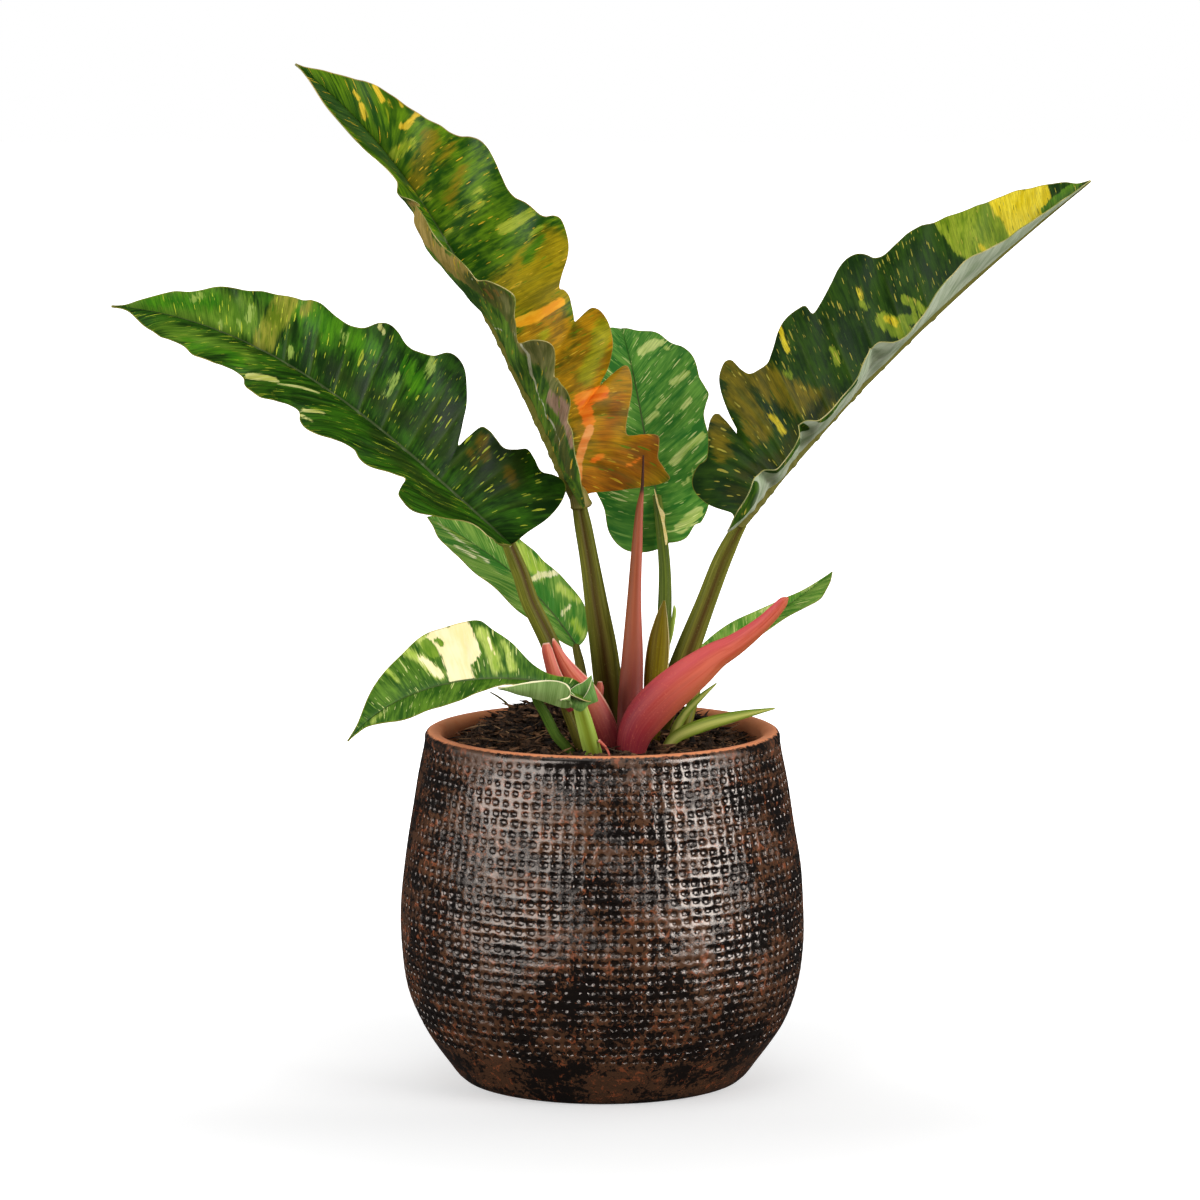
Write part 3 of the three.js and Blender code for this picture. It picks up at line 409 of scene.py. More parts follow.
                0: 4, 40: 14, 75: 19.3, 120: 18.7, 210: 16.6, 260: 12.5, 315: 9.8, 370: 12, 420: 15.5,
                500: 20, 575: 22.6, 660: 21, 750: 17, 830: 10, 900: 3.8, 951: 1.9, 1000: 0.5,
            },
            "fold": {0: 4, 1000: 4},
            "curl": {0: 30, 200: 60, 350: 20, 1000: 0},
            "lean": {0: 0.3, 1000: 0.3},
            "wave": (1, 4, 0.8),
        },
    },
    "side": {
        "rib": [(60, 22, 251), (87, 38, 270), (117, 52, 284), (144, 65, 305)],
        "face": (-0.3, -0.7, 0.65),
        "rib_radius": 1.8,
        "sweep": {0: -20, 100: 0, 300: 20, 1000: 40},
        "left": {
            "width": {
                0: 3, 50: 7.5, 100: 10.5, 235: 12.4, 410: 10.4, 600: 7, 760: 3.5, 910: 1.5, 1000: 0.5,
            },
            "fold": {0: 20, 1000: 20},
            "curl": {0: 0, 1000: 0},
            "lean": {0: 0.3, 1000: 0.3},
            "wave": (1, 3, 0.2),
        },
        "right": {
            "width": {
                0: 3, 60: 9, 163: 13.5, 346: 12, 540: 14, 700: 18.6, 790: 15.6, 877: 10.2, 950: 4.5,
                1000: 0.5,
            },
            "fold": {0: 20, 1000: 20},
            "curl": {0: 0, 1000: 0},
            "lean": {0: 0.3, 1000: 0.3},
            "wave": (1, 3, 0.7),
        },
    },
}

# Stems: rows of (x, y, z, radius) from the tip to the foot, then the finish, the slot and the form

STALKS = {
    "left": (
        [
            (-57, -21.8, 333, 4.16), (-53.5, -21, 324, 4.68), (-49.7, -19.9, 314.3, 5.2),
            (-44.5, -18, 298, 5.5), (-33, -15, 273, 5.8), (-21, -13, 242, 6.1), (-11, -12, 214, 6.4),
            (-5, -9, 182, 6.4),
        ],
        "leaf stalk", "stalk", {"groove": 0.35, "twist": -28},
    ),
    "tall": (
        [
            (-15, 2.1, 359, 4.32), (-13.4, 2.6, 350, 4.86), (-11.8, 3.2, 341.4, 5.4), (-8, 4, 320, 5.9),
            (-3.6, 5, 292, 7.2), (0.4, 6, 267, 8.4), (4, 6, 239, 9), (7, 6, 211, 9), (8, 6, 179, 8.8),
        ],
        "leaf stalk", "stalk", {"groove": 0.42},
    ),
    "right": (
        [
            (85.3, 14, 342, 4), (81.5, 13.9, 335, 4.5), (77.7, 13.8, 327.4, 5.2), (73, 14, 317, 5.8),
            (63.5, 13, 292, 6.3), (53.5, 12, 266, 7.4), (43, 12, 238, 8), (32, 12, 210, 8),
            (26, 12, 178, 7.8),
        ],
        "leaf stalk", "stalk", {"groove": 0.4, "twist": -12},
    ),
    "back": (
        [
            (34.2, 65.6, 353, 2.72), (35.4, 62, 344, 3.06), (36.6, 58.1, 334.3, 3.4),
            (38.8, 50, 310, 3.8), (38.8, 41, 286, 4.4), (37, 34, 258, 4.7), (34, 30, 228, 4.9),
            (32, 28, 196, 5),
        ],
        "back stalk", "stalk", {},
    ),
    "shaded": (
        [
            (-16.7, 51.8, 260.3, 2.4), (-15.6, 48.5, 256, 2.7), (-14.3, 44.4, 251, 3),
            (-12, 36, 240, 3.3), (-9, 28, 226, 3.8), (-8, 25, 214, 4), (-6, 23, 182, 4.2),
        ],
        "brown stalk", "stalk", {},
    ),
    "cream": (
        [
            (-13, -47.6, 246, 2.72), (-14.2, -47.4, 242, 3.06), (-13.6, -46.5, 237.4, 4.2),
            (-11.4, -45.6, 229, 4.9), (-8.6, -43.6, 218, 5.3), (-5.4, -41, 205, 5.6),
            (-3.4, -38, 173, 5.2),
        ],
        "young stalk", "young_stalk", {"groove": 0.2},
    ),
    "side": (
        [
            (59.6, 21.7, 250.7, 2.4), (58.8, 17, 246, 2.7), (57.8, 11.3, 239.2, 3), (55.5, 5, 231, 3.3),
            (52.5, 1, 222, 3.6), (50, -1, 213, 3.8), (47, 0, 181, 3.8),
        ],
        "leaf stalk", "stalk", {},
    ),
}
SHOOTS = {
    "sheath_centre": (
        [
            (25, -6, 386, 0.5), (24.2, -6.6, 365, 1.1), (22.8, -7, 354, 2.2), (21.2, -8, 331, 3.3),
            (19.4, -8, 297, 4.4), (18.4, -9, 262, 6.6), (17, -10, 229, 7.8), (17, -10, 212, 7.8),
            (18, -9, 180, 7.6),
        ],
        "old sheath", "sheath_brown", {"flat": 0.85},
    ),
    "sheath_right": (
        [
            (111.5, -62, 305.6, 0.7), (109.2, -61, 303.5, 2.8), (104.5, -59, 297.7, 3.9),
            (96.2, -56, 288.8, 4.8), (80.1, -51, 275.6, 6.7), (68.1, -48, 268.2, 8.5),
            (57.9, -45, 259.8, 10.6), (47.7, -42, 251.1, 11.9), (37.4, -40, 241.9, 12.5),
            (27, -38, 230.5, 12.4), (20.4, -36, 219.7, 10.8), (17.4, -34, 207, 9), (15.4, -32, 175, 8.8),
        ],
        "coral sheath", "sheath", {"flat": 0.75},
    ),
    "sheath_left": (
        [
            (-30, -33, 276.9, 0.5), (-28.3, -33, 271.6, 2.4), (-24.6, -32.5, 264.2, 3.6),
            (-19.2, -31.5, 255.4, 5.4), (-12.5, -30.5, 246, 7.2), (-6.4, -29, 236, 8.2),
            (-0.9, -28, 224.8, 8.4), (3.6, -26, 211, 8), (4.6, -24, 179, 6.6),
        ],
        "left sheath", "sheath", {"flat": 0.8, "margin": 1},
    ),
    "bud": (
        [
            (38, -2, 296, 0.6), (36.4, -2, 286, 3.6), (34.6, -2, 270, 6.6), (32.8, -2, 250, 7.3),
            (31, -2, 228, 5.4), (31, -2, 212, 4.6), (30, -1, 180, 4.4),
        ],
        "bud skin", "bud", {"flat": 0.6, "margin": 1},
    ),
    "bract_right_long": (
        [
            (105, -34, 234, 0.6), (81, -30.5, 228.5, 3.2), (60, -27, 222, 4.2), (44, -24, 214, 3.8),
            (38.5, -22.5, 205, 3), (37.5, -19.5, 173, 2.8),
        ],
        "green bract", "bract", {"flat": 0.55, "stripe": 1},
    ),
    "bract_right_short": (
        [
            (70, -11, 246, 0.5), (60, -10, 237, 1.9), (50, -9, 226, 2.6), (44, -8.5, 214, 2.8),
            (42, -7.5, 182, 2.6),
        ],
        "green bract", "bract", {"flat": 0.7, "stripe": 1},
    ),
    "bract_left": (
        [
            (-44, -47.5, 247, 0.5), (-40.3, -45, 241.4, 2.6), (-34.9, -41, 231.6, 3.1),
            (-28.3, -37, 218, 3.2), (-19, -34, 205, 3.2), (-16, -31, 173, 3.2),
        ],
        "dark bract", "stalk", {"flat": 0.6},
    ),
    "bract_left_inner": (
        [
            (-27, -34, 243, 0.5), (-24.6, -33, 238.9, 2.2), (-21.8, -32, 231.4, 2.8),
            (-17.6, -30.4, 220.1, 3), (-13, -28.6, 206.2, 3.2), (-10, -25.6, 174.2, 3.2),
        ],
        "brown stalk", "stalk", {"flat": 0.7},
    ),
    "crown_stump": (
        [(9, 23, 232, 4.4), (9, 23, 224, 5.6), (9, 23, 214, 5.8), (9, 23, 206, 5.8), (9, 23, 174, 5.8)],
        "dry bark", "bark", {},
    ),
}
# These stand only here, and no CAD node has their place
SMALL_STEMS = {
    "sheath_left_lobe": (
        [
            (-34.3, -36, 274.4, 2), (-33.8, -36, 270.7, 3.3), (-31.9, -36, 263.4, 3.8),
            (-28.9, -35.5, 254, 4.4), (-24, -34.5, 244, 4.9), (-17.6, -32, 234, 4.6),
        ],
        "left sheath", "sheath", {"flat": 0.8, "margin": 1},
    ),
    "sheath_left_hump": (
        [
            (-1.5, -20, 248.4, 1.3), (-1.5, -20, 244.4, 2.4), (-3.3, -21, 237, 3.1),
            (-6.4, -24, 229.5, 3.1),
        ],
        "left sheath", "sheath", {},
    ),
    "collar_tall": (
        [
            (-16.4, 1.6, 366, 3.6), (-15.4, 1.8, 363, 5), (-14.4, 2, 359.6, 5.9),
            (-13.6, 2.2, 356.4, 6.3), (-13.1, 2.4, 354.8, 6.8), (-12.9, 2.5, 353.9, 6.8),
            (-12.7, 2.6, 353, 5.9),
        ],
        "collar", "stalk", {},
    ),
    "sprout": (
        [(-37.5, -8, 206.4, 0.4), (-33.5, -8, 207.2, 0.8), (-29.2, -8, 208, 1), (-24.3, -8, 209.5, 1)],
        "young stalk", "young_stalk", {"flat": 0.5},
    ),
    "dry_stick": (
        [
            (-70.5, 55, 230.6, 0.4), (-65.8, 56, 227.7, 0.6), (-60.3, 57, 223.3, 0.7),
            (-56.8, 58, 218.7, 0.7),
        ],
        "brown stalk", "bark", {},
    ),
    "pink_hair": (
        [(-2.3, -46, 216.2, 1), (2.1, -48, 212, 0.8), (4.4, -50, 206.9, 0.6), (4.9, -50, 202, 0.5)],
        "left sheath", "sheath", {},
    ),
    "dry_sliver": (
        [
            (44.1, 6, 292.1, 0.4), (44.4, 6, 289, 1.2), (43.5, 6, 281.6, 1.3), (42.5, 6, 274.1, 1.1),
            (41.3, 6, 267.3, 0.5),
        ],
        "young stalk", "young_stalk", {"flat": 0.3},
    ),
}

# Thin curled pieces: finish, bulge, width of the pale margin, and the two rails they hang between

FLAPS = {
    "leaf_cream_roll": (
        "leaf roll", 2, 1.2,
        [
            (-62.6, -82.5, 254.1), (-57.8, -82, 254.4), (-50.6, -80.8, 255.6), (-41.6, -80, 257.3),
            (-33.3, -78.5, 257.8), (-26.1, -77, 257), (-21.3, -76, 254.9), (-19.2, -76, 251.6),
            (-20.1, -77, 248.1), (-25.5, -78, 246.1),
        ],
        [
            (-62.6, -82.5, 253.5), (-57.2, -82, 252.2), (-50.7, -80, 249.7), (-42.9, -78, 247.6),
            (-35.1, -76, 244.9), (-28.5, -74, 242.2), (-23.7, -72, 240.6), (-20.1, -71, 240.5),
            (-18.9, -73, 242.6), (-20.7, -76, 245.5),
        ],
    ),
    "leaf_cream_ear": (
        "leaf ear", 2, 0.7,
        [
            (-19.9, -58, 248.3), (-15.6, -57, 244), (-12.7, -56, 242.5), (-9.4, -55, 246.4),
            (-7.5, -54, 250.7), (-6.3, -53, 254.8),
        ],
        [
            (-22, -57, 241.4), (-17.8, -56, 237.9), (-13.3, -55, 235.9), (-8.5, -54, 239.7),
            (-4.8, -53, 240.8), (-3, -52, 241.5),
        ],
    ),
    "leaf_cream_ear_back": (
        "leaf ear", 1, 0.5,
        [
            (-19.3, -52, 248), (-16, -51, 250.6), (-12.7, -51, 252.1), (-9.4, -50, 254.4),
            (-6.6, -50, 257.1),
        ],
        [
            (-19, -53, 242), (-14.8, -52, 240), (-11.2, -51, 240.5), (-7.6, -51, 242.3),
            (-3.9, -50, 245.2),
        ],
    ),
    "stalk_cream_strip": (
        "cream strip", 0.5, 0,
        [
            (32.3, 64.1, 357.6), (33.2, 62, 352.5), (34.4, 60, 347.4), (35.7, 58.3, 343.2),
            (36.2, 56.1, 337.8), (37.4, 53.9, 331.8), (38.3, 52.4, 327.5), (39.4, 51.2, 323.9),
        ],
        [
            (32.7, 64.1, 357.6), (34.3, 62, 352.5), (35.7, 60, 347.4), (39, 58, 342.6),
            (38.8, 56.1, 337.8), (40, 53.9, 331.8), (40.7, 52.4, 327.5), (40.2, 51.2, 323.9),
        ],
    ),
}

# Patches of colour on each half of a blade: a radius, then places along the rib in thousandths
# and out to the edge in hundredths, which the patch runs through

PATCHES = {
    "left": {
        "right": {
            # Painted light: a lighter green where light falls, towards the tip
            "painted_light": [(14, (909, 82), (714, 45))],
            "fresh": [
                (5, (910, 70), (764, 72)), (9, (610, 100), (522, 77)), (5, (470, 82), (417, 70)),
                (5, (345, 78), (315, 67)),
            ],
            # Painted shade: dark green towards the base and along the rib
            "painted_shade": [(18, (249, 40), (121, 72)), (6, (506, 27), (311, 30))],
            "umber": [
                (4, (170, 83), (152, 72)), (2, (176, 60), (160, 53)), (2.5, (107, 65), (91.2, 58)),
            ],
            "olive": [
                (7, (610, 98), (631, 62), (662, 15)), (4, (667, 20), (677, 5)),
                (2.5, (560, 100), (574, 83)),
            ],
            "yellow": [(1.6, (420, 97), (408, 90))],
            "lime": [
                (1.8, (682, 70), (698, 47)), (1.2, (765, 20), (763, 10)), (1.2, (720, 35), (718, 23)),
                (1.8, (606, 22), (604, 15)), (2, (306, 95), (305, 77)), (1.5, (361, 63), (374, 33)),
                (2, (791, 85), (807, 73)), (1.4, (484, 87), (486, 72)),
            ],
        },
        "left": {
            # Painted light: a lighter green where light falls, towards the tip
            "painted_light": [(8, (830, 65), (676, 43))],
            "fresh": [(4, (768, 87), (656, 68))],
            # Painted shade: dark green towards the base
            "painted_shade": [(9, (346, 28), (176, 50))],
            "yellow": [
                (2.6, (616, 90), (596, 67), (575, 52)), (0.8, (561, 55), (536, 37), (505, 28)),
                (1, (485, 92), (454, 60)), (1, (474, 98), (449, 83)),
            ],
        },
    },
    "tall": {
        "right": {
            "olive": [
                (5, (659, 78), (666, 48), (676, 8.3)), (3, (619, 88), (628, 60)),
                (3, (580, 65), (581, 32)),
            ],
            "ochre": [
                (14, (333, 78), (357, 40), (379, 20)), (14, (288, 100), (294, 67)),
                (8, (341, 33), (285, 80)),
            ],
            "amber": [
                (17, (247, 55), (246, 38)), (16, (164, 90), (134, 65)), (18, (105, 85), (66.3, 60)),
                (16, (41.3, 80), (38.7, 37)), (8, (30, 95), (25, 70)), (14, (151, 48), (91.2, 45)),
            ],
            "rust": [(12, (42.5, 90), (31.2, 50), (22.5, 28)), (4, (85, 82), (65, 65))],
            "gold": [(5.5, (161, 95), (149, 80), (139, 60)), (3, (254, 52), (253, 42))],
            "green": [(3, (362, 80), (366, 70), (372, 60)), (2, (439, 72), (431, 60))],
            "lime": [
                (3, (706, 52), (723, 33), (738, 12)), (3.4, (409, 95), (429, 82), (451, 67)),
                (1.6, (376, 88), (385, 75)), (1.6, (511, 60), (535, 42), (554, 27)),
                (1.6, (556, 10), (560, 3.3)), (1.8, (647, 1.7), (631, 12)), (1.2, (524, 65), (529, 58)),
            ],
            "yellow": [
                (1.8, (836, 40), (826, 22)), (1.8, (807, 98), (787, 80)), (1, (860, 63), (846, 53)),
                (2, (709, 100), (720, 83), (734, 65)), (1, (759, 100), (746, 95)),
                (0.8, (775, 88), (765, 78)),
            ],
            "orange": [(3.2, (321, 23), (294, 48), (260, 88))],
            "ember": [
                (4.6, (121, 50), (104, 70)), (4.2, (116, 55), (92.5, 43)), (1.4, (51.3, 33), (52.5, 47)),
                (1, (36.2, 67), (38.7, 80)),
            ],
            "salmon": [(2.6, (83.8, 43), (72.5, 33), (58.8, 25), (36.2, 12))],
        },
        "left": {
            # Painted shade: dark green along the rib towards the tip
            "painted_shade": [(14, (719, 13), (789, 20), (875, 0)), (10, (875, 0), (939, 6.7))],
            "pink": [(3, (652, 63), (640, 43), (570, 100))],
            "tan": [
                (9, (557, 88), (501, 82), (446, 83), (396, 87)), (9, (540, 98), (560, 6.7), (417, 93)),
            ],
            "shade": [(12, (379, 92), (341, 78), (305, 82)), (10, (97.5, 57), (66.3, 68))],
            "grey": [(12, (241, 100), (211, 83), (163, 97)), (3, (349, 92), (321, 75))],
            "blush": [(8, (140, 72), (111, 98), (86.3, 100))],
            "mud": [(1.6, (371, 85), (356, 72)), (1.2, (356, 92), (345, 83))],
            "line": [
                (1, (274, 92), (250, 100), (234, 75), (220, 42), (196, 35), (154, 42)),
                (1, (152, 40), (122, 37), (86.3, 50)), (0.9, (356, 18), (326, 33)),
                (0.8, (395, 93), (383, 100)),
            ],
        },
    },
    "right": {
        "right": {
            "bare": [
                (5, (278, 100), (235, 100), (196, 100)),
                (7, (161, 87), (131, 100), (109, 100), (96.3, 100)), (11, (66.3, 95), (52.5, 77)),
                (9, (52.5, 100), (40, 100)),
            ],
        },
        "left": {
            "lime": [
                (15, (650, 98), (696, 58), (735, 23)), (12, (728, 97), (763, 43)),
                (2.4, (509, 40), (535, 25), (560, 10)), (4.6, (454, 38), (482, 18), (517, 1.7)),
                (4, (491, 23), (531, 13)), (1.6, (323, 53), (331, 35)), (2, (209, 65), (215, 57)),
                (1.6, (408, 58), (419, 52)),
            ],
            "yellow": [
                (11, (772, 100), (806, 57), (825, 22)), (8, (853, 92), (866, 48)),
                (2, (463, 37), (479, 27)), (2, (217, 100), (220, 87), (223, 77)),
                (1, (403, 73), (410, 63)), (1.6, (152, 53), (161, 42), (169, 28)),
                (1.5, (710, 40), (718, 30)),
            ],
            "green": [(2.6, (883, 23), (919, 38), (965, 93))],
            # Painted shade: dark green along the rib near the base
            "painted_shade": [(5, (72.5, 33), (138, 10), (292, 18)), (5, (51.3, 37), (45, 17))],
            "olive": [
                (9, (122, 95), (160, 92), (221, 33), (269, 15)), (8, (118, 77), (125, 38)),
                (6, (90, 100), (73.7, 73)),
            ],
        },
    },
    "back": {
        "right": {
            "lime": [
                (3.6, (759, 42), (745, 73)), (2.2, (511, 57), (517, 83)), (2, (396, 8.3), (409, 23)),
                (2.6, (186, 38), (263, 90)), (3.6, (32.5, 80), (76.2, 87)), (1.6, (666, 83), (724, 88)),
                (1.2, (396, 73), (378, 62)), (1, (459, 38), (439, 25)), (1.4, (169, 70), (122, 55)),
            ],
        },
        "left": {
            "lime": [(1.2, (465, 27), (468, 17))],
        },
    },
    "shaded": {
        "right": {
            "cream": [(2, (379, 23), (348, 57), (309, 77), (288, 97)), (0.9, (159, 22), (158, 57))],
            "lime": [
                (5, (487, 70), (352, 65)), (2.4, (236, 72), (152, 90)), (2.6, (98.8, 43), (47.5, 62)),
            ],
            "deep": [(6, (305, 20), (195, 0))],
        },
        "left": {
            "cream": [(0.7, (930, 22), (761, 37), (585, 30)), (0.9, (735, 72), (634, 52))],
            "lime": [(3, (939, 0), (802, 0))],
            "deep": [(4, (698, 3.3), (503, 22))],
        },
    },
    "cream": {
        "right": {
            "lime": [
                (3, (573, 100), (560, 67), (546, 20)), (4, (326, 77), (328, 48), (336, 18)),
                (2.6, (273, 78), (279, 25)), (1.6, (674, 100), (686, 57)), (3, (519, 100), (491, 87)),
            ],
            "cream": [
                (8.5, (454, 88), (453, 55), (482, 6.7)), (7, (380, 92), (401, 50)),
                (2.2, (549, 52), (546, 20)), (4, (399, 90), (485, 87)), (1.6, (555, 70), (554, 37)),
                (0.9, (318, 67), (324, 38)),
            ],
            "green": [(4, (506, 82), (510, 67)), (2.4, (476, 82), (468, 75))],
        },
        "left": {
            "lime": [(1.4, (833, 25), (873, 53))],
        },
    },
    "side": {
        "left": {
            "lime": [(1.6, (763, 100), (870, 95)), (1.4, (475, 80), (579, 78))],
        },
    },
}

# Colours of each blade. A tint gives the two colours of a patch, then how ragged and how soft its
# border is, in millimetres. Plain tints have no flecks, and those below show on the underside only.

LOOKS = {
    "left": {
        "dark": "#132f07", "bright": "#37680e", "fleck": "#c2cc3c", "fleck_share": 0.42,
        "rib": "#55633e",
        "tints": {
            # Painted light: the lighter green of the lit zones
            "painted_light": ("#4c7418", "#6c9028", 30, 6),
            "fresh": ("#2c6a0a", "#4c860f", 34, 3.5),
            # Painted shade: the dark greens of the shaded zones
            "painted_shade": ("#16290a", "#2c4410", 34, 5),
            "umber": ("#3e3a0e", "#66540f", 14, 2),
            "olive": ("#5f7414", "#969634", 18, 2),
            "lime": ("#7f9d3c", "#a2ba58", 18, 0.7),
            "yellow": ("#b8bc58", "#d6d688", 8, 0.4),
        },
    },
    "tall": {
        "dark": "#1c4406", "bright": "#648a0c", "fleck": "#e6b82c", "fleck_share": 0.3,
        "bloom": 0.04, "lip": "#c09a54", "rim": "#8d7b44", "keel": "#5d6620",
        "plain": ("orange", "ember", "salmon"),
        "below": ("pink", "tan", "shade", "grey", "mud", "blush", "line"),
        "tints": {
            "olive": ("#5a5e0a", "#8a7a0e", 24, 3),
            "ochre": ("#847404", "#b0980c", 26, 4),
            "amber": ("#8c6604", "#cc920a", 26, 4),
            "gold": ("#8f8a06", "#b6aa12", 16, 2.5),
            "rust": ("#8c4e04", "#c4780a", 26, 4),
            "green": ("#3c6a08", "#5a8410", 16, 2),
            "lime": ("#869a1a", "#a8b436", 20, 1.2),
            "yellow": ("#d2a81c", "#e6c638", 10, 0.6),
            "orange": ("#f09a10", "#ffb828", 6, 0.6),
            "ember": ("#ee6a0c", "#ff9626", 9, 0.8),
            "salmon": ("#ee8436", "#ffae60", 2, 0.5),
            # Painted shade: the dark greens of the shaded zones
            "painted_shade": ("#24401a", "#3f5c26", 10, 2),
            "pink": ("#d29a7c", "#e8b89c", 4, 0.4),
            "tan": ("#8a7430", "#b4964e", 14, 1),
            "shade": ("#3a4410", "#5c5a18", 14, 2),
            "grey": ("#5a5c26", "#827c44", 14, 2),
            "mud": ("#7a5a1c", "#96702c", 8, 0.5),
            "blush": ("#8a6852", "#b08a74", 10, 2),
            "line": ("#b8b490", "#ddd8ba", 0.6, 0.4),
        },
    },
    "right": {
        "dark": "#16320a", "bright": "#34560e", "fleck": "#cfc04a", "fleck_share": 0.42,
        "bloom": 0.9, "keel": "#6c7234",
        "tints": {
            "olive": ("#5a560c", "#8a7816", 26, 3),
            "lime": ("#6c8a14", "#a0b230", 12, 0.8),
            "yellow": ("#dec416", "#f8e23c", 10, 0.8),
            "green": ("#4a7a18", "#6c9424", 6, 0.4),
            "bare": ("#26480e", "#4a7016", 5, 0.4),
            # Painted shade: the dark greens of the shaded zones
            "painted_shade": ("#1c2a06", "#3c4408", 26, 4),
        },
    },
    "back": {
        "dark": "#2f6e24", "bright": "#70a640", "fleck": "#dce690", "fleck_share": 0.7,
        "tints": {
            "lime": ("#a0bc54", "#d0dc84", 8, 0.6),
        },
    },
    "shaded": {
        "dark": "#3c7a28", "bright": "#8cb04c", "fleck": "#dce48c", "fleck_share": 0.6,
        "tints": {
            "lime": ("#a4c440", "#ccdc6c", 16, 1.5),
            "deep": ("#2c6a1e", "#4a8a34", 14, 1.5),
            "cream": ("#eee8a4", "#fbf6c8", 10, 0.5),
        },
    },
    "cream": {
        "dark": "#27500f", "bright": "#648c28", "fleck": "#dce28e", "fleck_share": 0.5,
        "plain": ("cream", "green"),
        "tints": {
            "lime": ("#9ab83c", "#c8d66e", 14, 1.5),
            "cream": ("#f8e6a4", "#fdf0c0", 12, 0.5),
            "green": ("#557f18", "#7a9a2c", 9, 0.5),
        },
    },
    "side": {
        "dark": "#4a8428", "bright": "#94b850", "fleck": "#dce48c", "fleck_share": 0.7, "rim": "#e4e0a4",
        "tints": {
            "lime": ("#a0be54", "#ccd884", 8, 0.5),
        },
    },
}

# Settings that a user would change


def length(name, description, default):
    return FloatProperty(name=name, description=description, default=default, unit="LENGTH")


def tint(name, description, code):
    return FloatVectorProperty(
        name=name, description=description, default=hex_colour(code), subtype="COLOR", size=4
    )


def hex_colour(code):
    """Linear colour with alpha, from a hex code as the eye sees it."""
    channels = [int(code[i : i + 2], 16) / 255 for i in (1, 3, 5)]
    return [*(c / 12.92 if c <= 0.04045 else ((c + 0.055) / 1.055) ** 2.4 for c in channels), 1.0]


class PotSettings(bpy.types.PropertyGroup):
    height: length("Height", "From the foot to the top of the lip", POT_HIGH.z - POT_LOW.z)
    dimple_depth: length("Dimple depth", "How deep the pressed dimples are", 0.0012)
    columns: IntProperty(name="Columns", description="Dimples in one turn", default=106)
    rows: IntProperty(name="Rows", description="Dimples from shoulder to foot", default=32)
    glaze: tint("Glaze", "The dark glaze", "#0c0807")
    clay: tint("Clay", "Bare terracotta of the lip and the inside", "#d87644")
    rust: tint("Rust", "Rusty bits that show through the glaze", "#96502f")
    earth: tint("Earth", "Brown patches in the glaze", "#523624")


class SoilSettings(bpy.types.PropertyGroup):
    edge_height: length("Edge height", "Height of the soil at the wall of the pot", 0.204)
    chips: IntProperty(name="Chips", description="Pieces of bark on the soil", default=1900)
    fibres: IntProperty(name="Fibres", description="Thin fibres on the soil", default=260)
    dark: tint("Dark", "Damp soil and bark", "#0e0805")
    light: tint("Light", "Dry bark and fibres", "#8a6242")


class LeafSettings(bpy.types.PropertyGroup):
    thickness: length("Thickness", "Thickness of a blade between its veins", 0.0008)
    vein_depth: length("Vein depth", "How deep the main side veins sink in", 0.0005)
    columns: IntProperty(name="Columns", description="Faces along a large blade", default=400)
    rows: IntProperty(name="Rows", description="Faces across each half of a blade", default=26)
    pale: tint("Pale", "Bloom on the underside of the blades", "#9fb08a")


class StemSettings(bpy.types.PropertyGroup):
    sides: IntProperty(name="Sides", description="Faces round each stem", default=40)
    steps: IntProperty(name="Steps", description="Faces along each stem", default=120)
    stalk: tint("Stalk", "Olive flesh of the leaf stalks", "#848430")
    # The groove's colour also paints shade at the foot of each stalk
    groove: tint("Groove", "Brown groove along the stalks", "#4a3410")


class StageSettings(bpy.types.PropertyGroup):
    floor_size: length("Floor size", "Width of the floor", 30.0)
    light_power: FloatProperty(name="Lights", description="Scales the power of all lights", default=1.0)
    room_glow: FloatProperty(name="Room glow", description="Light from all round", default=0.3)
    room_shine: FloatProperty(
        name="Room shine", description="How the room shows in glossy parts", default=0.05
    )
    floor_glow: FloatProperty(name="Floor glow", description="Whitens the floor behind", default=0.56)
    front_glow: FloatProperty(name="Front glow", description="Whitens the floor in front", default=0.28)


# Curves and surfaces in numbers


def unit(vectors):
    return vectors / np.linalg.norm(vectors, axis=-1, keepdims=True)


def path_length(points):
    return np.linalg.norm(np.diff(points, axis=0), axis=1).sum()


def through(rows, at):
    """Smooth values at the given places, through rows of (place, value)."""
    places, values = np.array(rows, float).T
    at = np.clip(at, places[0], places[-1])
    i = np.clip(np.searchsorted(places, at) - 1, 0, len(places) - 2)
    index = np.arange(len(places))
    before = np.maximum(index - 1, 0)
    after = np.minimum(index + 1, len(places) - 1)
    slopes = (values[after] - values[before]) / (places[after] - places[before])
    span = places[i + 1] - places[i]
    x = (at - places[i]) / span
    start = 2 * x**3 - 3 * x**2 + 1
    start_slope = (x**3 - 2 * x**2 + x) * span * slopes[i]
    end_slope = (x**3 - x**2) * span * slopes[i + 1]
    return start * values[i] + start_slope + (1 - start) * values[i + 1] + end_slope


def along_rib(table, t):
    """Smooth values at places t, 0 to 1, from a table that goes in thousandths of the rib."""
    return through([(place / 1000, value) for place, value in table.items()], t)


def smoothstep(low, high, value):
    x = np.clip((value - low) / (high - low), 0, 1)
    return x * x * (3 - 2 * x)


def soft_noise(points, size, seed, waves=14):
    """Smooth wandering values between about -1 and 1: a sum of waves in random directions."""
    random = np.random.default_rng(seed)
    directions = unit(random.normal(size=(waves, points.shape[-1])))
    lengths = size * random.uniform(0.6, 1.6, waves)
    phases = random.uniform(0, 2 * math.pi, waves)
    total = np.sin(points @ (directions * (2 * math.pi / lengths)[:, None]).T + phases)
    return total.sum(axis=-1) / math.sqrt(waves)


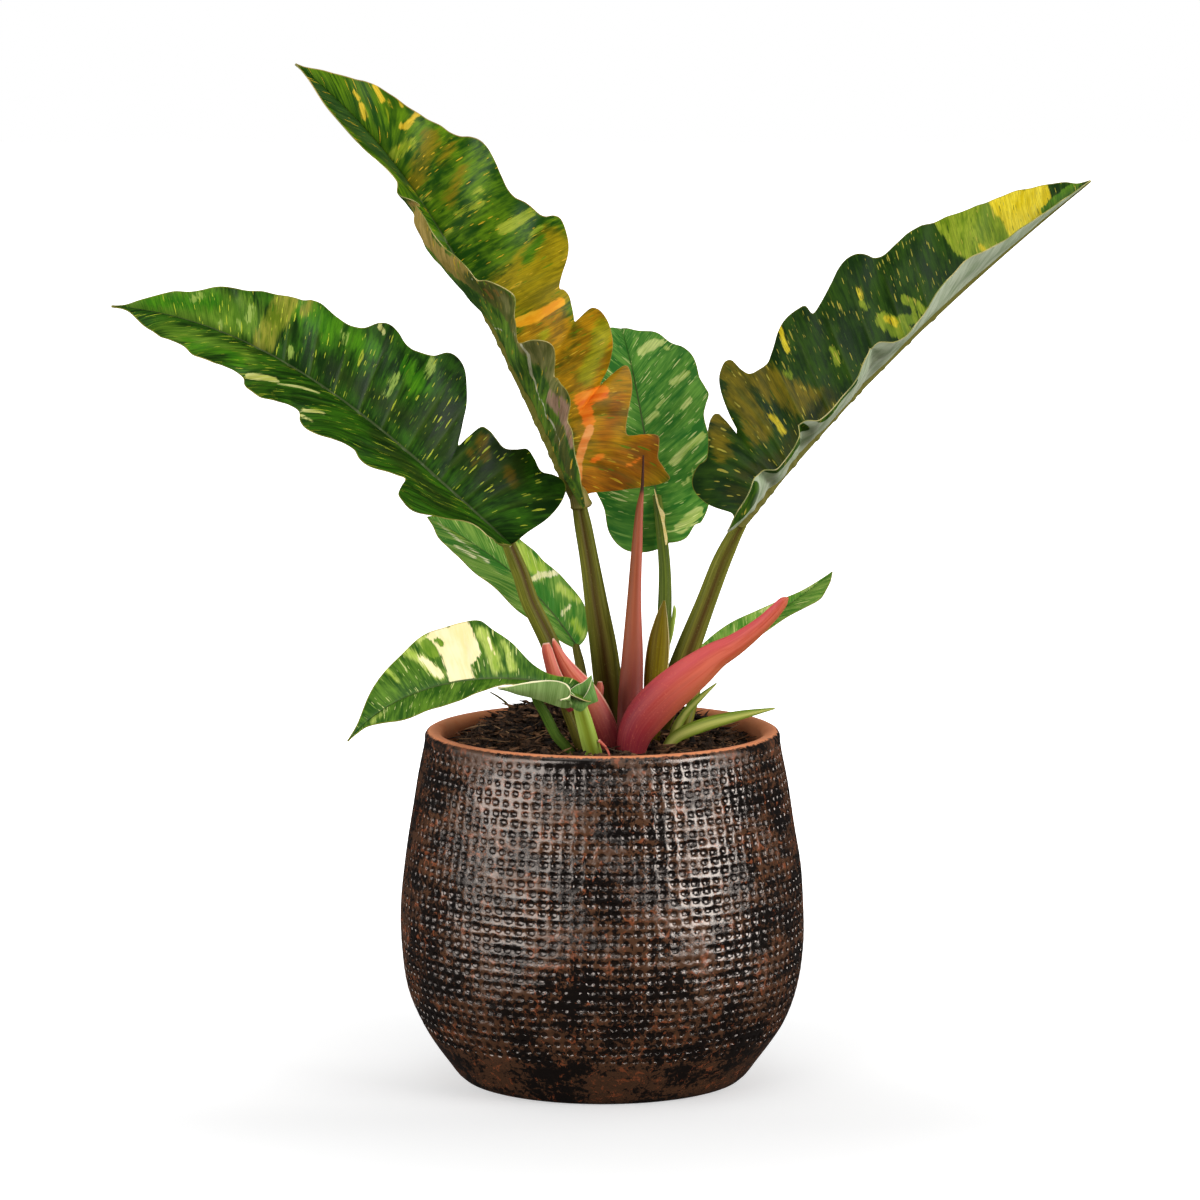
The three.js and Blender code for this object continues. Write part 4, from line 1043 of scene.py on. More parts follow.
def spline(points, t):
    """Points and directions on the centripetal curve through the given points."""
    points = np.array(points, float)
    last = len(points) - 1
    padded = np.vstack([2 * points[0] - points[1], points, 2 * points[-1] - points[-2]])
    place = np.clip(t, 0, 1) * last
    i = np.minimum(place.astype(int), last - 1)
    w = (place - i)[:, None]
    p0, p1, p2, p3 = (padded[i + k] for k in range(4))
    pairs = ((p0, p1), (p1, p2), (p2, p3))
    d0, d1, d2 = (np.linalg.norm(b - a, axis=1, keepdims=True) ** 0.5 for a, b in pairs)
    start = ((p1 - p0) / d0 - (p2 - p0) / (d0 + d1) + (p2 - p1) / d1) * d1
    end = ((p2 - p1) / d1 - (p3 - p1) / (d1 + d2) + (p3 - p2) / d2) * d1
    square = -3 * p1 + 3 * p2 - 2 * start - end
    cube = 2 * p1 - 2 * p2 + start + end
    centre = p1 + start * w + square * w**2 + cube * w**3
    return centre, unit(start + 2 * square * w + 3 * cube * w**2)


# Meshes


def new_grid(name, columns, rows):
    """Adds a flat grid, and returns it with the place of each vertex: u along, v across, 0 to 1."""
    bpy.ops.object.select_all(action="DESELECT")
    bpy.ops.mesh.primitive_grid_add(x_subdivisions=columns, y_subdivisions=rows, size=2)
    obj = bpy.context.object
    obj.name = name
    obj.data.name = name
    places = np.zeros(len(obj.data.vertices) * 3)
    obj.data.vertices.foreach_get("co", places)
    places = places.reshape(-1, 3)
    u = np.round((places[:, 0] + 1) / 2 * columns) / columns
    v = np.round((places[:, 1] + 1) / 2 * rows) / rows
    return obj, u, v


def write_points(obj, points):
    """Moves the vertices to these points, given in millimetres."""
    obj.data.vertices.foreach_set("co", (points * MM).ravel())
    obj.data.update()


def write_values(obj, **values):
    for name, numbers in values.items():
        layer = obj.data.attributes.new(name, "FLOAT", "POINT")
        layer.data.foreach_set("value", np.asarray(numbers, np.float32))


def write_uv(obj, u, v):
    """Writes the flat coordinates that the patterns follow."""
    corners = np.zeros(len(obj.data.loops), np.int32)
    obj.data.loops.foreach_get("vertex_index", corners)
    layer = obj.data.uv_layers[0]
    layer.name = "flat"
    layer.uv.foreach_set("vector", np.stack([u, v], axis=1)[corners].astype(np.float32).ravel())


def grid_normals(points, u, v):
    """Normals of a surface whose points stand on a grid of u and v."""
    order = np.lexsort((v, u))
    net = points[order].reshape(-1, len(np.unique(v)), 3)
    normals = np.empty_like(points)
    cross = np.cross(np.gradient(net, axis=0), np.gradient(net, axis=1))
    normals[order] = unit(cross).reshape(-1, 3)
    return normals


def pick(obj):
    """Selects one object alone, for the operators that follow."""
    bpy.ops.object.select_all(action="DESELECT")
    obj.select_set(True)
    bpy.context.view_layer.objects.active = obj


def in_edit_mode(obj, *steps):
    """Runs each edit step with the whole mesh selected."""
    pick(obj)
    bpy.ops.object.mode_set(mode="EDIT")
    for step in steps:
        bpy.ops.mesh.select_all(action="SELECT")
        step()
    bpy.ops.object.mode_set(mode="OBJECT")


def weld():
    bpy.ops.mesh.remove_doubles(threshold=0.00001)


def select_open_edges():
    bpy.ops.mesh.select_all(action="DESELECT")
    bpy.ops.mesh.select_non_manifold(extend=False, use_non_contiguous=False)


def cap_ends():
    select_open_edges()
    bpy.ops.mesh.fill()


def face_outwards():
    bpy.ops.mesh.normals_make_consistent(inside=False)


def finish_piece(obj, angle, slot, *nodes):
    """Smooths a piece, which rides with the plant and stands for its CAD nodes. The slot is not used."""
    pick(obj)
    for modifier in list(obj.modifiers):
        bpy.ops.object.modifier_apply(modifier=modifier.name)
    bpy.ops.object.shade_smooth_by_angle(angle=math.radians(angle))
    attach(obj, "root")
    if nodes:
        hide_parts(*nodes)


def wear(obj, *materials):
    for name in materials:
        obj.data.materials.append(bpy.data.materials[name])


# Node helpers. A value may be a number, a colour's hex code or another node's socket.


def feed(tree, node, inputs):
    for name, value in inputs.items():
        socket = node.inputs[name]
        if isinstance(value, bpy.types.NodeSocket):
            tree.links.new(value, socket)
        else:
            socket.default_value = hex_colour(value) if isinstance(value, str) else value


def add_node(tree, kind, inputs=None, **options):
    node = tree.nodes.new(kind)
    for name, value in options.items():
        setattr(node, name, value)
    feed(tree, node, inputs or {})
    return node


def calculate(tree, operation, *values, clamp=False):
    inputs = dict(enumerate(values))
    node = add_node(tree, "ShaderNodeMath", inputs, operation=operation, use_clamp=clamp)
    return node.outputs[0]


def times(tree, first, second):
    return calculate(tree, "MULTIPLY", first, second)


def weighted(tree, first, weight, second, other_weight):
    return calculate(tree, "MULTIPLY_ADD", first, weight, times(tree, second, other_weight))


def mix(tree, factor, first, second):
    inputs = {0: factor, 6: first, 7: second}
    return add_node(tree, "ShaderNodeMix", inputs, data_type="RGBA").outputs[2]


def ramp(tree, value, low, high, start=0.0, end=1.0):
    """A smooth step from start to end while the value goes from low to high."""
    inputs = {"Value": value, "From Min": low, "From Max": high, "To Min": start, "To Max": end}
    node = add_node(tree, "ShaderNodeMapRange", inputs, interpolation_type="SMOOTHSTEP")
    return node.outputs[0]


def noise(tree, vector, scale, detail=3.0, roughness=0.55, distortion=0.0):
    inputs = {
        "Vector": vector, "Scale": scale, "Detail": detail, "Roughness": roughness,
        "Distortion": distortion,
    }
    return add_node(tree, "ShaderNodeTexNoise", inputs).outputs["Fac"]


def stretch(tree, vector, x, y, z=1.0):
    inputs = {"Vector": vector, "Scale": (x, y, z)}
    return add_node(tree, "ShaderNodeMapping", inputs, vector_type="POINT").outputs[0]


def value_of(tree, name):
    return add_node(tree, "ShaderNodeAttribute", attribute_name=name).outputs["Fac"]


def flat_coordinates(tree):
    return add_node(tree, "ShaderNodeUVMap", uv_map="flat").outputs[0]


def object_coordinates(tree):
    return add_node(tree, "ShaderNodeTexCoord").outputs["Object"]


def part_of(tree, vector, axis):
    return add_node(tree, "ShaderNodeSeparateXYZ", {"Vector": vector}).outputs[axis]


def bump(tree, height, strength, distance, **normal):
    inputs = {"Height": height, "Strength": strength, "Distance": distance, **normal}
    return add_node(tree, "ShaderNodeBump", inputs).outputs[0]


def new_material(name):
    material = bpy.data.materials.new(name)
    material.use_nodes = True
    tree = material.node_tree
    return tree, tree.nodes["Principled BSDF"]


def new_group(name, inputs, outputs):
    """A node group with a vector and these other inputs, and the vector counted in its cells."""
    group = bpy.data.node_groups.new(name, "ShaderNodeTree")
    group.interface.new_socket("Vector", in_out="INPUT", socket_type="NodeSocketVector")
    for title in inputs:
        group.interface.new_socket(title, in_out="INPUT", socket_type="NodeSocketFloat")
    for title in outputs:
        group.interface.new_socket(title, in_out="OUTPUT", socket_type="NodeSocketFloat")
    given = group.nodes.new("NodeGroupInput").outputs
    x = calculate(group, "DIVIDE", 1.0, given["Width"])
    y = calculate(group, "DIVIDE", 1.0, given["Length"])
    scale = add_node(group, "ShaderNodeCombineXYZ", {"X": x, "Y": y, "Z": 1.0}).outputs[0]
    inputs = {0: given["Vector"], 1: scale}
    place = add_node(group, "ShaderNodeVectorMath", inputs, operation="MULTIPLY").outputs[0]
    return group, given, place, group.nodes.new("NodeGroupOutput")


def use_group(tree, name, vector, width, length, **inputs):
    node = tree.nodes.new("ShaderNodeGroup")
    node.node_tree = bpy.data.node_groups[name]
    feed(tree, node, {"Vector": vector, "Width": width, "Length": length, **inputs})
    return node.outputs


def streaks(tree, flat, size):
    return use_group(tree, "Streaks", flat, *size)["Streak"]


def make_streaks_group():
    """Streaks that run across the flat coordinates' first axis, as flesh follows the veins."""
    group, _, place, result = new_group("Streaks", ["Width", "Length"], ["Streak"])
    feed(group, result, {"Streak": noise(group, place, 1.0, 3.0, 0.6, 0.4)})


def make_flecks_group():
    """Long flecks along the veins: each cell of a stretched pattern may hold one."""
    group, given, place, result = new_group("Flecks", ["Width", "Length", "Share"], ["Mask", "Tone"])
    rough = add_node(group, "ShaderNodeTexNoise", {"Vector": place, "Scale": 1.7, "Detail": 2.0})
    inputs = {0: rough.outputs["Color"], 1: (0.55, 0.55, 0.0), 2: place}
    bent = add_node(group, "ShaderNodeVectorMath", inputs, operation="MULTIPLY_ADD").outputs[0]
    cells = add_node(group, "ShaderNodeTexVoronoi", {"Vector": bent, "Scale": 1.0}).outputs
    chance = add_node(group, "ShaderNodeSeparateColor", {"Color": cells["Color"]}).outputs
    held = calculate(group, "LESS_THAN", chance["Red"], given["Share"])
    reach = calculate(group, "MULTIPLY_ADD", chance["Green"], 0.3, 0.1)
    inside = ramp(group, cells["Distance"], reach, times(group, reach, 0.75))
    feed(group, result, {"Mask": times(group, inside, held), "Tone": chance["Blue"]})


# Leaves


def rib_frame(leaf, t):
    """Point, direction, face normal and sideways direction at places t along the rib."""
    a, b, c, d = (np.array(point, float) for point in leaf["rib"])
    t = t[:, None]
    q = 1 - t
    point = q**3 * a + 3 * q**2 * t * b + 3 * q * t**2 * c + t**3 * d
    along = unit(q**2 * (b - a) + 2 * q * t * (c - b) + t**2 * (d - c))
    face = unit(np.array(leaf["face"], float))
    face = unit(face - (along @ face)[:, None] * along)
    return point, along, face, unit(np.cross(along, face))


def half_points(leaf, side, t, s):
    """Points on one half of a blade, and its width there: s runs from the rib to the edge."""
    half = leaf[side]
    point, along, face, across = rib_frame(leaf, t)
    width = np.maximum(0, along_rib(half["width"], t))
    fold = np.radians(along_rib(half["fold"], t))
    curl = np.radians(along_rib(half["curl"], t))
    sweep = np.radians(along_rib(leaf["sweep"], t))
    height, count, phase = half["wave"]
    curl = np.where(np.abs(curl) > LEAST_CURL, curl, LEAST_CURL)
    out = (np.sin(fold + curl * s) - np.sin(fold)) / curl
    up = (np.cos(fold) - np.cos(fold + curl * s)) / curl
    ripple = height * np.minimum(1, width / FULL_WAVE_WIDTH) * s**2
    ripple *= np.sin(2 * math.pi * (count * t + phase))
    sideways = (1 if side == "right" else -1) * width * out * np.cos(sweep)
    point = point + sideways[:, None] * across
    point += (width * s * np.sin(sweep))[:, None] * along
    point += (width * up + ripple)[:, None] * face
    return point, width


def main_veins(half, rib_length):
    """Where the main side veins start on the rib: one for each lobe, and one between two lobes."""
    widths = half["width"]
    values = list(widths.values())
    rows = zip(list(widths)[1:], values, values[1:], values[2:])
    tips = [t / 1000 for t, before, here, after in rows if before < here >= after and here > LEAST_LOBE]
    tips = np.array(sorted(tips + [(a + b) / 2 for a, b in zip(tips, tips[1:])]))
    places = np.linspace(0, 1, LOBE_SAMPLES)
    padded = np.pad(along_rib(widths, places), LOBE_SPAN // 2, mode="edge")
    broad = np.interp(tips, places, np.convolve(padded, np.ones(LOBE_SPAN) / LOBE_SPAN, mode="valid"))
    return tips * rib_length - along_rib(half["lean"], tips) * broad


def bell(distance, width):
    return np.exp(-((distance / width) ** 2))


def patch_field(name, title, sides, points):
    """Millimetres that each vertex lies inside the patches of one colour, or minus that outside."""
    field = np.full(len(points), -FAR_OUTSIDE)
    for side, chosen in sides.items():
        for radius, *places in PATCHES[name].get(side, {}).get(title, ()):
            t, s = np.array(places).T
            stops = half_points(LEAVES[name], side, t / 1000, s / 100)[0]
            for start, end in zip(stops, stops[1:]):
                line = end - start
                share = np.clip((points - start) @ line / max(line @ line, 1e-9), 0, 1)
                inside = radius - np.linalg.norm(points - start - share[:, None] * line, axis=1)
                field = np.where(chosen, np.maximum(field, inside), field)
    return field


def make_blade(name, columns, rows, settings):
    leaf = LEAVES[name]
    obj, u, v = new_grid(f"leaf_{name}", columns, 2 * rows)
    t = u**BASE_CROWDING
    s = np.abs(2 * v - 1) ** RIB_CROWDING
    right = v < 0.5
    sides = {"right": right, "left": ~right}
    rib_length = path_length(rib_frame(leaf, np.linspace(0, 1, 60))[0])
    points = np.zeros((len(u), 3))
    width, start, vein, pucker = np.zeros((4, len(u)))
    for side, chosen in sides.items():
        at, out = t[chosen], s[chosen]
        points[chosen], width[chosen] = half_points(leaf, side, at, out)
        half = leaf[side]
        start[chosen] = at * rib_length - along_rib(half["lean"], at) * out * width[chosen]
        veins = main_veins(half, rib_length)
        gap = np.min(np.abs(start[chosen][:, None] - veins), axis=1)
        vein[chosen] = bell(gap, VEIN_WIDTH) * smoothstep(*VEIN_FADE, out)
        pucker[chosen] = (1 - bell(gap, PUCKER_WIDTH)) * np.sin(math.pi * out**PUCKER_SKEW)
    normals = grid_normals(points, u, v)
    from_rib = s * width
    from_edge = (1 - s) * width
    thickness = settings.thickness / MM
    rib_radius = leaf["rib_radius"] * (1 - RIB_TAPER * t)
    rib = bell(from_rib, rib_radius * RIB_CHANNEL)
    relief = soft_noise(points, FLUTTER_SIZE, 5) * EDGE_FLUTTER * s**5
    relief += soft_noise(points, SWELL_SIZE, 9) * BLADE_SWELL * np.sin(math.pi * s)
    relief = (relief + PUCKER_HEIGHT * pucker) * np.minimum(1, width / FULL_WAVE_WIDTH)
    relief += thickness / 2 - settings.vein_depth / MM * (vein + RIB_SINK * rib)
    keel = np.sqrt(np.clip(1 - (from_rib / (KEEL_WIDTH * rib_radius)) ** 2, 0, 1))
    depth = thickness * (smoothstep(0, EDGE_BAND, from_edge) * (1 - EDGE_THINNESS) + EDGE_THINNESS)
    depth += np.maximum((rib_radius - THINNEST_STEM) * keel, 0)
    depth += VEIN_RIDGE * vein * smoothstep(*RIDGE_RISE, from_rib)
    write_points(obj, points + normals * relief[:, None])
    write_uv(obj, start / FLAT_UNIT, np.where(right, from_rib, -from_rib) / FLAT_UNIT)
    spine = smoothstep(KEEL_BAND, 1, from_rib / rib_radius)
    write_values(obj, rib=rib, vein=vein, edge=from_edge, keel=spine)
    for title in LOOKS[name]["tints"]:
        write_values(obj, **{title: patch_field(name, title, sides, points)})
    group = obj.vertex_groups.new(name="depth")
    for index, share in enumerate(depth / depth.max()):
        group.add([index], float(share), "REPLACE")
    solid = obj.modifiers.new("Thickness", "SOLIDIFY")
    solid.thickness = depth.max() * MM
    solid.offset = -1
    solid.vertex_group = "depth"
    solid.use_quality_normals = True
    solid.material_offset = 1
    solid.material_offset_rim = 2
    wear(obj, f"blade {name}", f"underside {name}", f"margin {name}")
    finish_piece(obj, 60, f"leaf_{name}", f"blade_{name}")


# Stems, sheaths and buds


def make_tube(name, stem, nodes, settings, steps=None, sides=None):
    """A stem through rows of (x, y, z, radius).

    Its form may give how flat it is, the depth of its groove and the angle where that lies, the
    strength of the stripe there, and whether its margins are pale.
    """
    rows, material, slot, form = stem
    obj, u, v = new_grid(name, steps or settings.steps, sides or settings.sides)
    rows = np.array(rows, float)
    path = rows[:, :3]
    centre, along = spline(path, u)
    across = unit(np.cross(along, (0, -1, 0)))
    front = unit(np.cross(across, along))
    places = np.linspace(0, 1, len(rows))
    radius = np.maximum(THINNEST_STEM, through(np.stack([places, rows[:, 3]], axis=1), u))
    turn = 2 * math.pi * v
    facing = np.maximum(0, np.cos(turn - math.radians(form.get("twist", 0))))
    groove = form.get("groove", 0)
    reach = radius * (1 - groove * facing**GROOVE_POWER)
    points = centre + (reach * np.cos(turn) * form.get("flat", 1))[:, None] * front
    points += (reach * np.sin(turn))[:, None] * across
    write_points(obj, points)
    length_along = path_length(spline(path, np.linspace(0, 1, 80))[0])
    write_uv(obj, turn * radius.mean() / FLAT_UNIT, u * length_along / FLAT_UNIT)
    stripe = form.get("stripe", float(groove > 0)) * facing**STRIPE_POWER
    margin = form.get("margin", 0) * smoothstep(*PALE_BAND, np.abs(np.sin(turn)))
    margin *= smoothstep(*PALE_REACH, u)
    write_values(obj, groove=stripe, margin=margin, side=np.sin(turn), reach=u)
    in_edit_mode(obj, weld, cap_ends, face_outwards)
    wear(obj, material)
    finish_piece(obj, 70, slot, *nodes)


def make_flap(name, flap, settings):
    """A thin curled piece between two rails, with a coloured margin along the first."""
    material, bulge, margin, first_rail, second_rail = flap
    obj, u, v = new_grid(name, *FLAP_FACES)
    first = spline(first_rail, u)[0]
    second = spline(second_rail, u)[0]
    span = np.linalg.norm(second - first, axis=1)
    points = first + (second - first) * v[:, None]
    points[:, 1] -= bulge * np.sin(math.pi * v) * np.minimum(1, span / FLAP_FULL_BULGE)
    write_points(obj, points)
    length_along = path_length(spline(first_rail, np.linspace(0, 1, 60))[0])
    write_uv(obj, u * length_along / FLAT_UNIT, v * span / FLAT_UNIT)
    margin = margin * (MARGIN_AT_START + (1 - MARGIN_AT_START) * u)
    write_values(obj, margin=smoothstep(margin + MARGIN_SOFTNESS, margin, span * v))
    obj.modifiers.new("Thickness", "SOLIDIFY").thickness = settings.thickness
    wear(obj, material)
    finish_piece(obj, 60, "leaf_cream")


# Pot


def pot_profile(settings):
    """Rows of (height, radius, place among the dimples or -1) from the floor inside to the foot."""
    height = settings.height / MM
    rows = [(z, radius, -1) for z, radius in POT_INSIDE]
    rows += [(height + drop, radius, -1) for drop, radius in LIP]
    fall = (DIMPLES_TO - DIMPLES_FROM) / settings.rows
    places = [step / FACES_PER_DIMPLE for step in range(settings.rows * FACES_PER_DIMPLE + 1)]
    wall = [(DIMPLES_TO - place * fall, place) for place in places] + [(z, -1) for z in FOOT_ROWS]
    rows += [(z, float(through(POT_SIDE, np.array([z]))[0]), place) for z, place in wall]
    return np.array(rows, float)


def dimple_relief(column, row, strength, settings):
    """How far the wall stands in or out: a pressed hole in each cell, with raised cords between."""
    cell = np.stack([np.floor(column) % settings.columns, np.floor(row)], axis=1)
    jitter = np.sin(cell @ np.array(JITTER_KEYS))
    x = np.abs(column - np.floor(column) - 0.5 - DIMPLE_JITTER * jitter[:, 0])
    y = np.abs(row - np.floor(row) - 0.5 - DIMPLE_JITTER * jitter[:, 1])
    distance = (x**HOLE_ROUNDNESS + y**HOLE_ROUNDNESS) ** (1 / HOLE_ROUNDNESS)
    wide = HOLE_RADIUS + HOLE_SPREAD * jitter[:, 2]
    hole = smoothstep(wide + HOLE_SLOPE[0], wide + HOLE_SLOPE[1], distance) * strength
    along_row = smoothstep(CORD_WIDTH, 0, np.abs(row - np.round(row)))
    along_column = smoothstep(CORD_WIDTH, 0, np.abs(column - np.round(column)))
    cords = along_row * smoothstep(-0.6, 0.9, np.sin(column / 7.1 + row / 4.3))
    cords += along_column * smoothstep(-0.2, 1, np.sin(row / 5.7 - column / 9.4))
    return CORD_HEIGHT * cords * strength - hole * settings.dimple_depth / MM, hole


def make_pot(settings):
    profile = pot_profile(settings)
    around = settings.columns * FACES_PER_DIMPLE
    obj, u, v = new_grid("pot_shell", around, len(profile) - 1)
    index = np.round(v * (len(profile) - 1)).astype(int)
    z, radius, place = profile[index].T
    turn = 2 * math.pi * u
    smooth = np.stack([radius * np.cos(turn), radius * np.sin(turn), z], axis=1)
    dimpled = place >= 0
    ends = smoothstep(0, HOLE_FADE, place)
    ends *= smoothstep(settings.rows, settings.rows - HOLE_FADE, place)
    faded = smoothstep(-1.5, 0.4, soft_noise(smooth * (1, 1, 0.6), FADE_SIZE, 3))
    strength = np.where(dimpled, ends * (FAINTEST_HOLE + (1 - FAINTEST_HOLE) * faded), 0)
    relief, hole = dimple_relief(u * settings.columns, place, strength, settings)
    outside = index >= len(POT_INSIDE) + len(LIP) - GLAZED_LIP_ROWS
    wobble = WALL_WOBBLE * soft_noise(smooth, WOBBLE_SIZE, 12) * outside
    wobble *= smoothstep(0, WOBBLE_ENDS[0], z) * smoothstep(0, WOBBLE_ENDS[1], z.max() - z)
    radius = radius + np.where(dimpled, relief, 0) + wobble
    write_points(obj, np.stack([radius * np.cos(turn), radius * np.sin(turn), z], axis=1))
    write_uv(obj, u * settings.columns, np.where(dimpled, place, -1))
    write_values(obj, hole=hole, outside=outside)
    in_edit_mode(obj, weld, cap_ends, face_outwards)
    wear(obj, "glazed clay")
    finish_piece(obj, 80, "pot", "pot")


# Soil


def soil_height(x, y, edge_height):
    edge = np.minimum(1, np.hypot(x, y) / SOIL_RADIUS)
    across = (x - MOUND["x"]) / MOUND["half_width"]
    back = (y - MOUND["y"]) / MOUND["half_depth"]
    mound = MOUND["height"] * np.exp(-(across**2) - back**2) + 0.03 * np.maximum(0, -x)
    lumps = 2.0 * np.sin(x / 9 + 1.3) * np.cos(y / 8) + 1.2 * np.sin((x + y) / 6.5)
    return edge_height + (mound + lumps) * (1 - edge**4) - SOIL_EDGE_DROP * smoothstep(0.88, 0.98, edge)


def close_soil():
    """Draws the open edge of the soil down to the floor of the pot and closes it."""
    select_open_edges()
    bpy.ops.mesh.extrude_region_move(TRANSFORM_OT_translate={"value": (0, 0, -SOIL_DEPTH * MM)})
    floor = (0, 0, (POT_FLOOR + SOIL_CLEARANCE) * MM)
    bpy.ops.transform.resize(value=(SOIL_FOOT_SHARE, SOIL_FOOT_SHARE, 0), center_override=floor)
    bpy.ops.mesh.fill()


def make_soil(settings):
    obj, u, v = new_grid("soil_bed", SOIL_FACES, SOIL_FACES)
    x, y = 2 * u - 1, 2 * v - 1
    disc_x = x * np.sqrt(1 - y**2 / 2) * SOIL_RADIUS
    disc_y = y * np.sqrt(1 - x**2 / 2) * SOIL_RADIUS
    z = soil_height(disc_x, disc_y, settings.edge_height / MM)
    disc = np.stack([disc_x, disc_y], axis=1)
    grain = sum(soft_noise(disc, size, seed) * height for size, seed, height in SOIL_GRAINS)
    z += grain * smoothstep(SOIL_RADIUS, SOIL_RADIUS - SOIL_RIM_BAND, np.hypot(disc_x, disc_y))
    write_points(obj, np.stack([disc_x, disc_y, z], axis=1))
    in_edit_mode(obj, close_soil, face_outwards)
    wear(obj, "damp soil")
    finish_piece(obj, 80, "soil", "soil")


def make_litter(name, count, seed, form, material, settings):
    """Strips of bark or fibres: each is a bent, tapered sliver that lies on the soil."""
    random = np.random.default_rng(seed)
    columns, ring = form["faces"]

    def draw(low, high):
        return random.uniform(low, high, count)[:, None, None]

    reach = LITTER_RADIUS * np.sqrt(draw(0, 1))
    turn = draw(0, 2 * math.pi)
    x, y = reach * np.cos(turn), reach * np.sin(turn)
    lengths = draw(*form["length"])
    widths = draw(*form["width"])
    heading = draw(0, 2 * math.pi)
    tilt = np.radians(random.normal(0, form["tilt"], count))[:, None, None]
    bend = draw(-1, 1) * form["bend"]
    roll = draw(-LARGEST_ROLL, LARGEST_ROLL)
    z = soil_height(x, y, settings.edge_height / MM) + draw(*form["lift"])
    along = np.linspace(-0.5, 0.5, columns + 1)[None, :, None]
    around = (np.arange(ring) / ring * 2 * math.pi)[None, None, :]
    taper = 1 - SLIVER_TAPER * (2 * np.abs(along)) ** 3
    bow = bend * lengths * (2 * along) ** 2
    side = np.cos(around) * widths / 2 * taper
    thick = np.sin(around) * widths * form["flat"] / 2 * taper
    local_x = along * lengths
    local_y = side * np.cos(roll) - thick * np.sin(roll) + bow
    local_z = side * np.sin(roll) + thick * np.cos(roll) - bow * SLIVER_SAG
    level = local_x * np.cos(tilt) - local_z * np.sin(tilt)
    x = level * np.cos(heading) - local_y * np.sin(heading) + x
    y = level * np.sin(heading) + local_y * np.cos(heading) + y
    z = local_x * np.sin(tilt) + local_z * np.cos(tilt) + z
    squeeze = np.minimum(1, (SOIL_RADIUS - LITTER_MARGIN) / np.maximum(np.hypot(x, y), 1))
    points = np.stack([x * squeeze, y * squeeze, z], axis=-1)
    faces = []
    piece = (columns + 1) * ring
    for base in range(0, count * piece, piece):
        for row in range(base, base + columns * ring, ring):
            for j in range(ring):
                a, b = row + j, row + (j + 1) % ring
                faces.append((a, a + ring, b + ring, b))
        faces.append(tuple(range(base, base + ring)))
        faces.append(tuple(reversed(range(base + columns * ring, base + piece))))
    mesh = bpy.data.meshes.new(name)
    mesh.from_pydata((points.reshape(-1, 3) * MM).tolist(), [], faces)
    obj = bpy.data.objects.new(name, mesh)
    bpy.context.scene.collection.objects.link(obj)
    write_values(obj, tone=np.repeat(random.uniform(0, 1, count), piece))
    wear(obj, material)
    in_edit_mode(obj, face_outwards)
    finish_piece(obj, 60, "soil")


# Materials


def finish_flesh(tree, flesh, colour, rough, fine, strength, gloss=FLESH_GLOSS):
    normal = bump(tree, fine, strength, FLESH_BUMP)
    inputs = {"Base Color": colour, "Roughness": rough, "Specular IOR Level": gloss, "Normal": normal}
    feed(tree, flesh, inputs)


def blade_colour(tree, look, hidden=()):
    """Green flesh with streaks, patches of other colours and flecks, all running with the veins."""
    flat = flat_coordinates(tree)
    hair = streaks(tree, flat, HAIR_STREAKS)
    broad = streaks(tree, flat, BROAD_STREAKS)
    both = weighted(tree, broad, 0.5, streaks(tree, flat, ZONE_STREAKS), 0.5)
    rag = weighted(tree, hair, 0.4, broad, 0.6)

    def tinted(colour, title):
        first, second, jag, soft = look["tints"][title]
        wander = calculate(tree, "MULTIPLY_ADD", rag, jag, -0.5 * jag)
        field = calculate(tree, "ADD", value_of(tree, title), wander)
        flesh = mix(tree, ramp(tree, both, 0.4, 0.6), first, second)
        return mix(tree, ramp(tree, field, -soft, soft), colour, flesh)

    plain = look.get("plain", ())
    dark, bright = look["dark"], look["bright"]
    colour = mix(tree, ramp(tree, both, 0.4, 0.62), dark, bright)
    for title in look["tints"]:
        if title not in (*plain, *hidden):
            colour = tinted(colour, title)
    from_rib = calculate(tree, "ABSOLUTE", part_of(tree, flat, "Y"))
    colour = mix(tree, ramp(tree, from_rib, 0.1, 0.75, 0.4, 0.0), colour, dark)
    for width, reach, part, strength in FLECK_SIZES:
        flecks = use_group(tree, "Flecks", flat, width, reach, Share=look["fleck_share"] * part)
        light = mix(tree, ramp(tree, flecks["Tone"], 0.0, 0.7), bright, look["fleck"])
        colour = mix(tree, times(tree, flecks["Mask"], strength), colour, light)
    colour = mix(tree, ramp(tree, hair, 0.4, 0.62, 0.0, 0.3), colour, dark)
    for title in plain:
        colour = tinted(colour, title)
    return colour, both, hair


def make_upper_material(name, look):
    tree, flesh = new_material(f"blade {name}")
    colour, both, hair = blade_colour(tree, look, look.get("below", ()))
    colour = mix(tree, times(tree, value_of(tree, "vein"), 0.12), colour, "#6f8a2c")
    rib = ramp(tree, value_of(tree, "rib"), 0.15, 0.7, 0.0, 0.9)
    colour = mix(tree, rib, colour, look.get("rib", "#56653a"))
    margin = ramp(tree, value_of(tree, "edge"), 0.8, 0.2, 0.0, 0.6)
    colour = mix(tree, margin, colour, look.get("lip", "#8f8a30"))
    finish_flesh(tree, flesh, colour, ramp(tree, both, 0.3, 0.7, 0.36, 0.5), hair, 0.2)


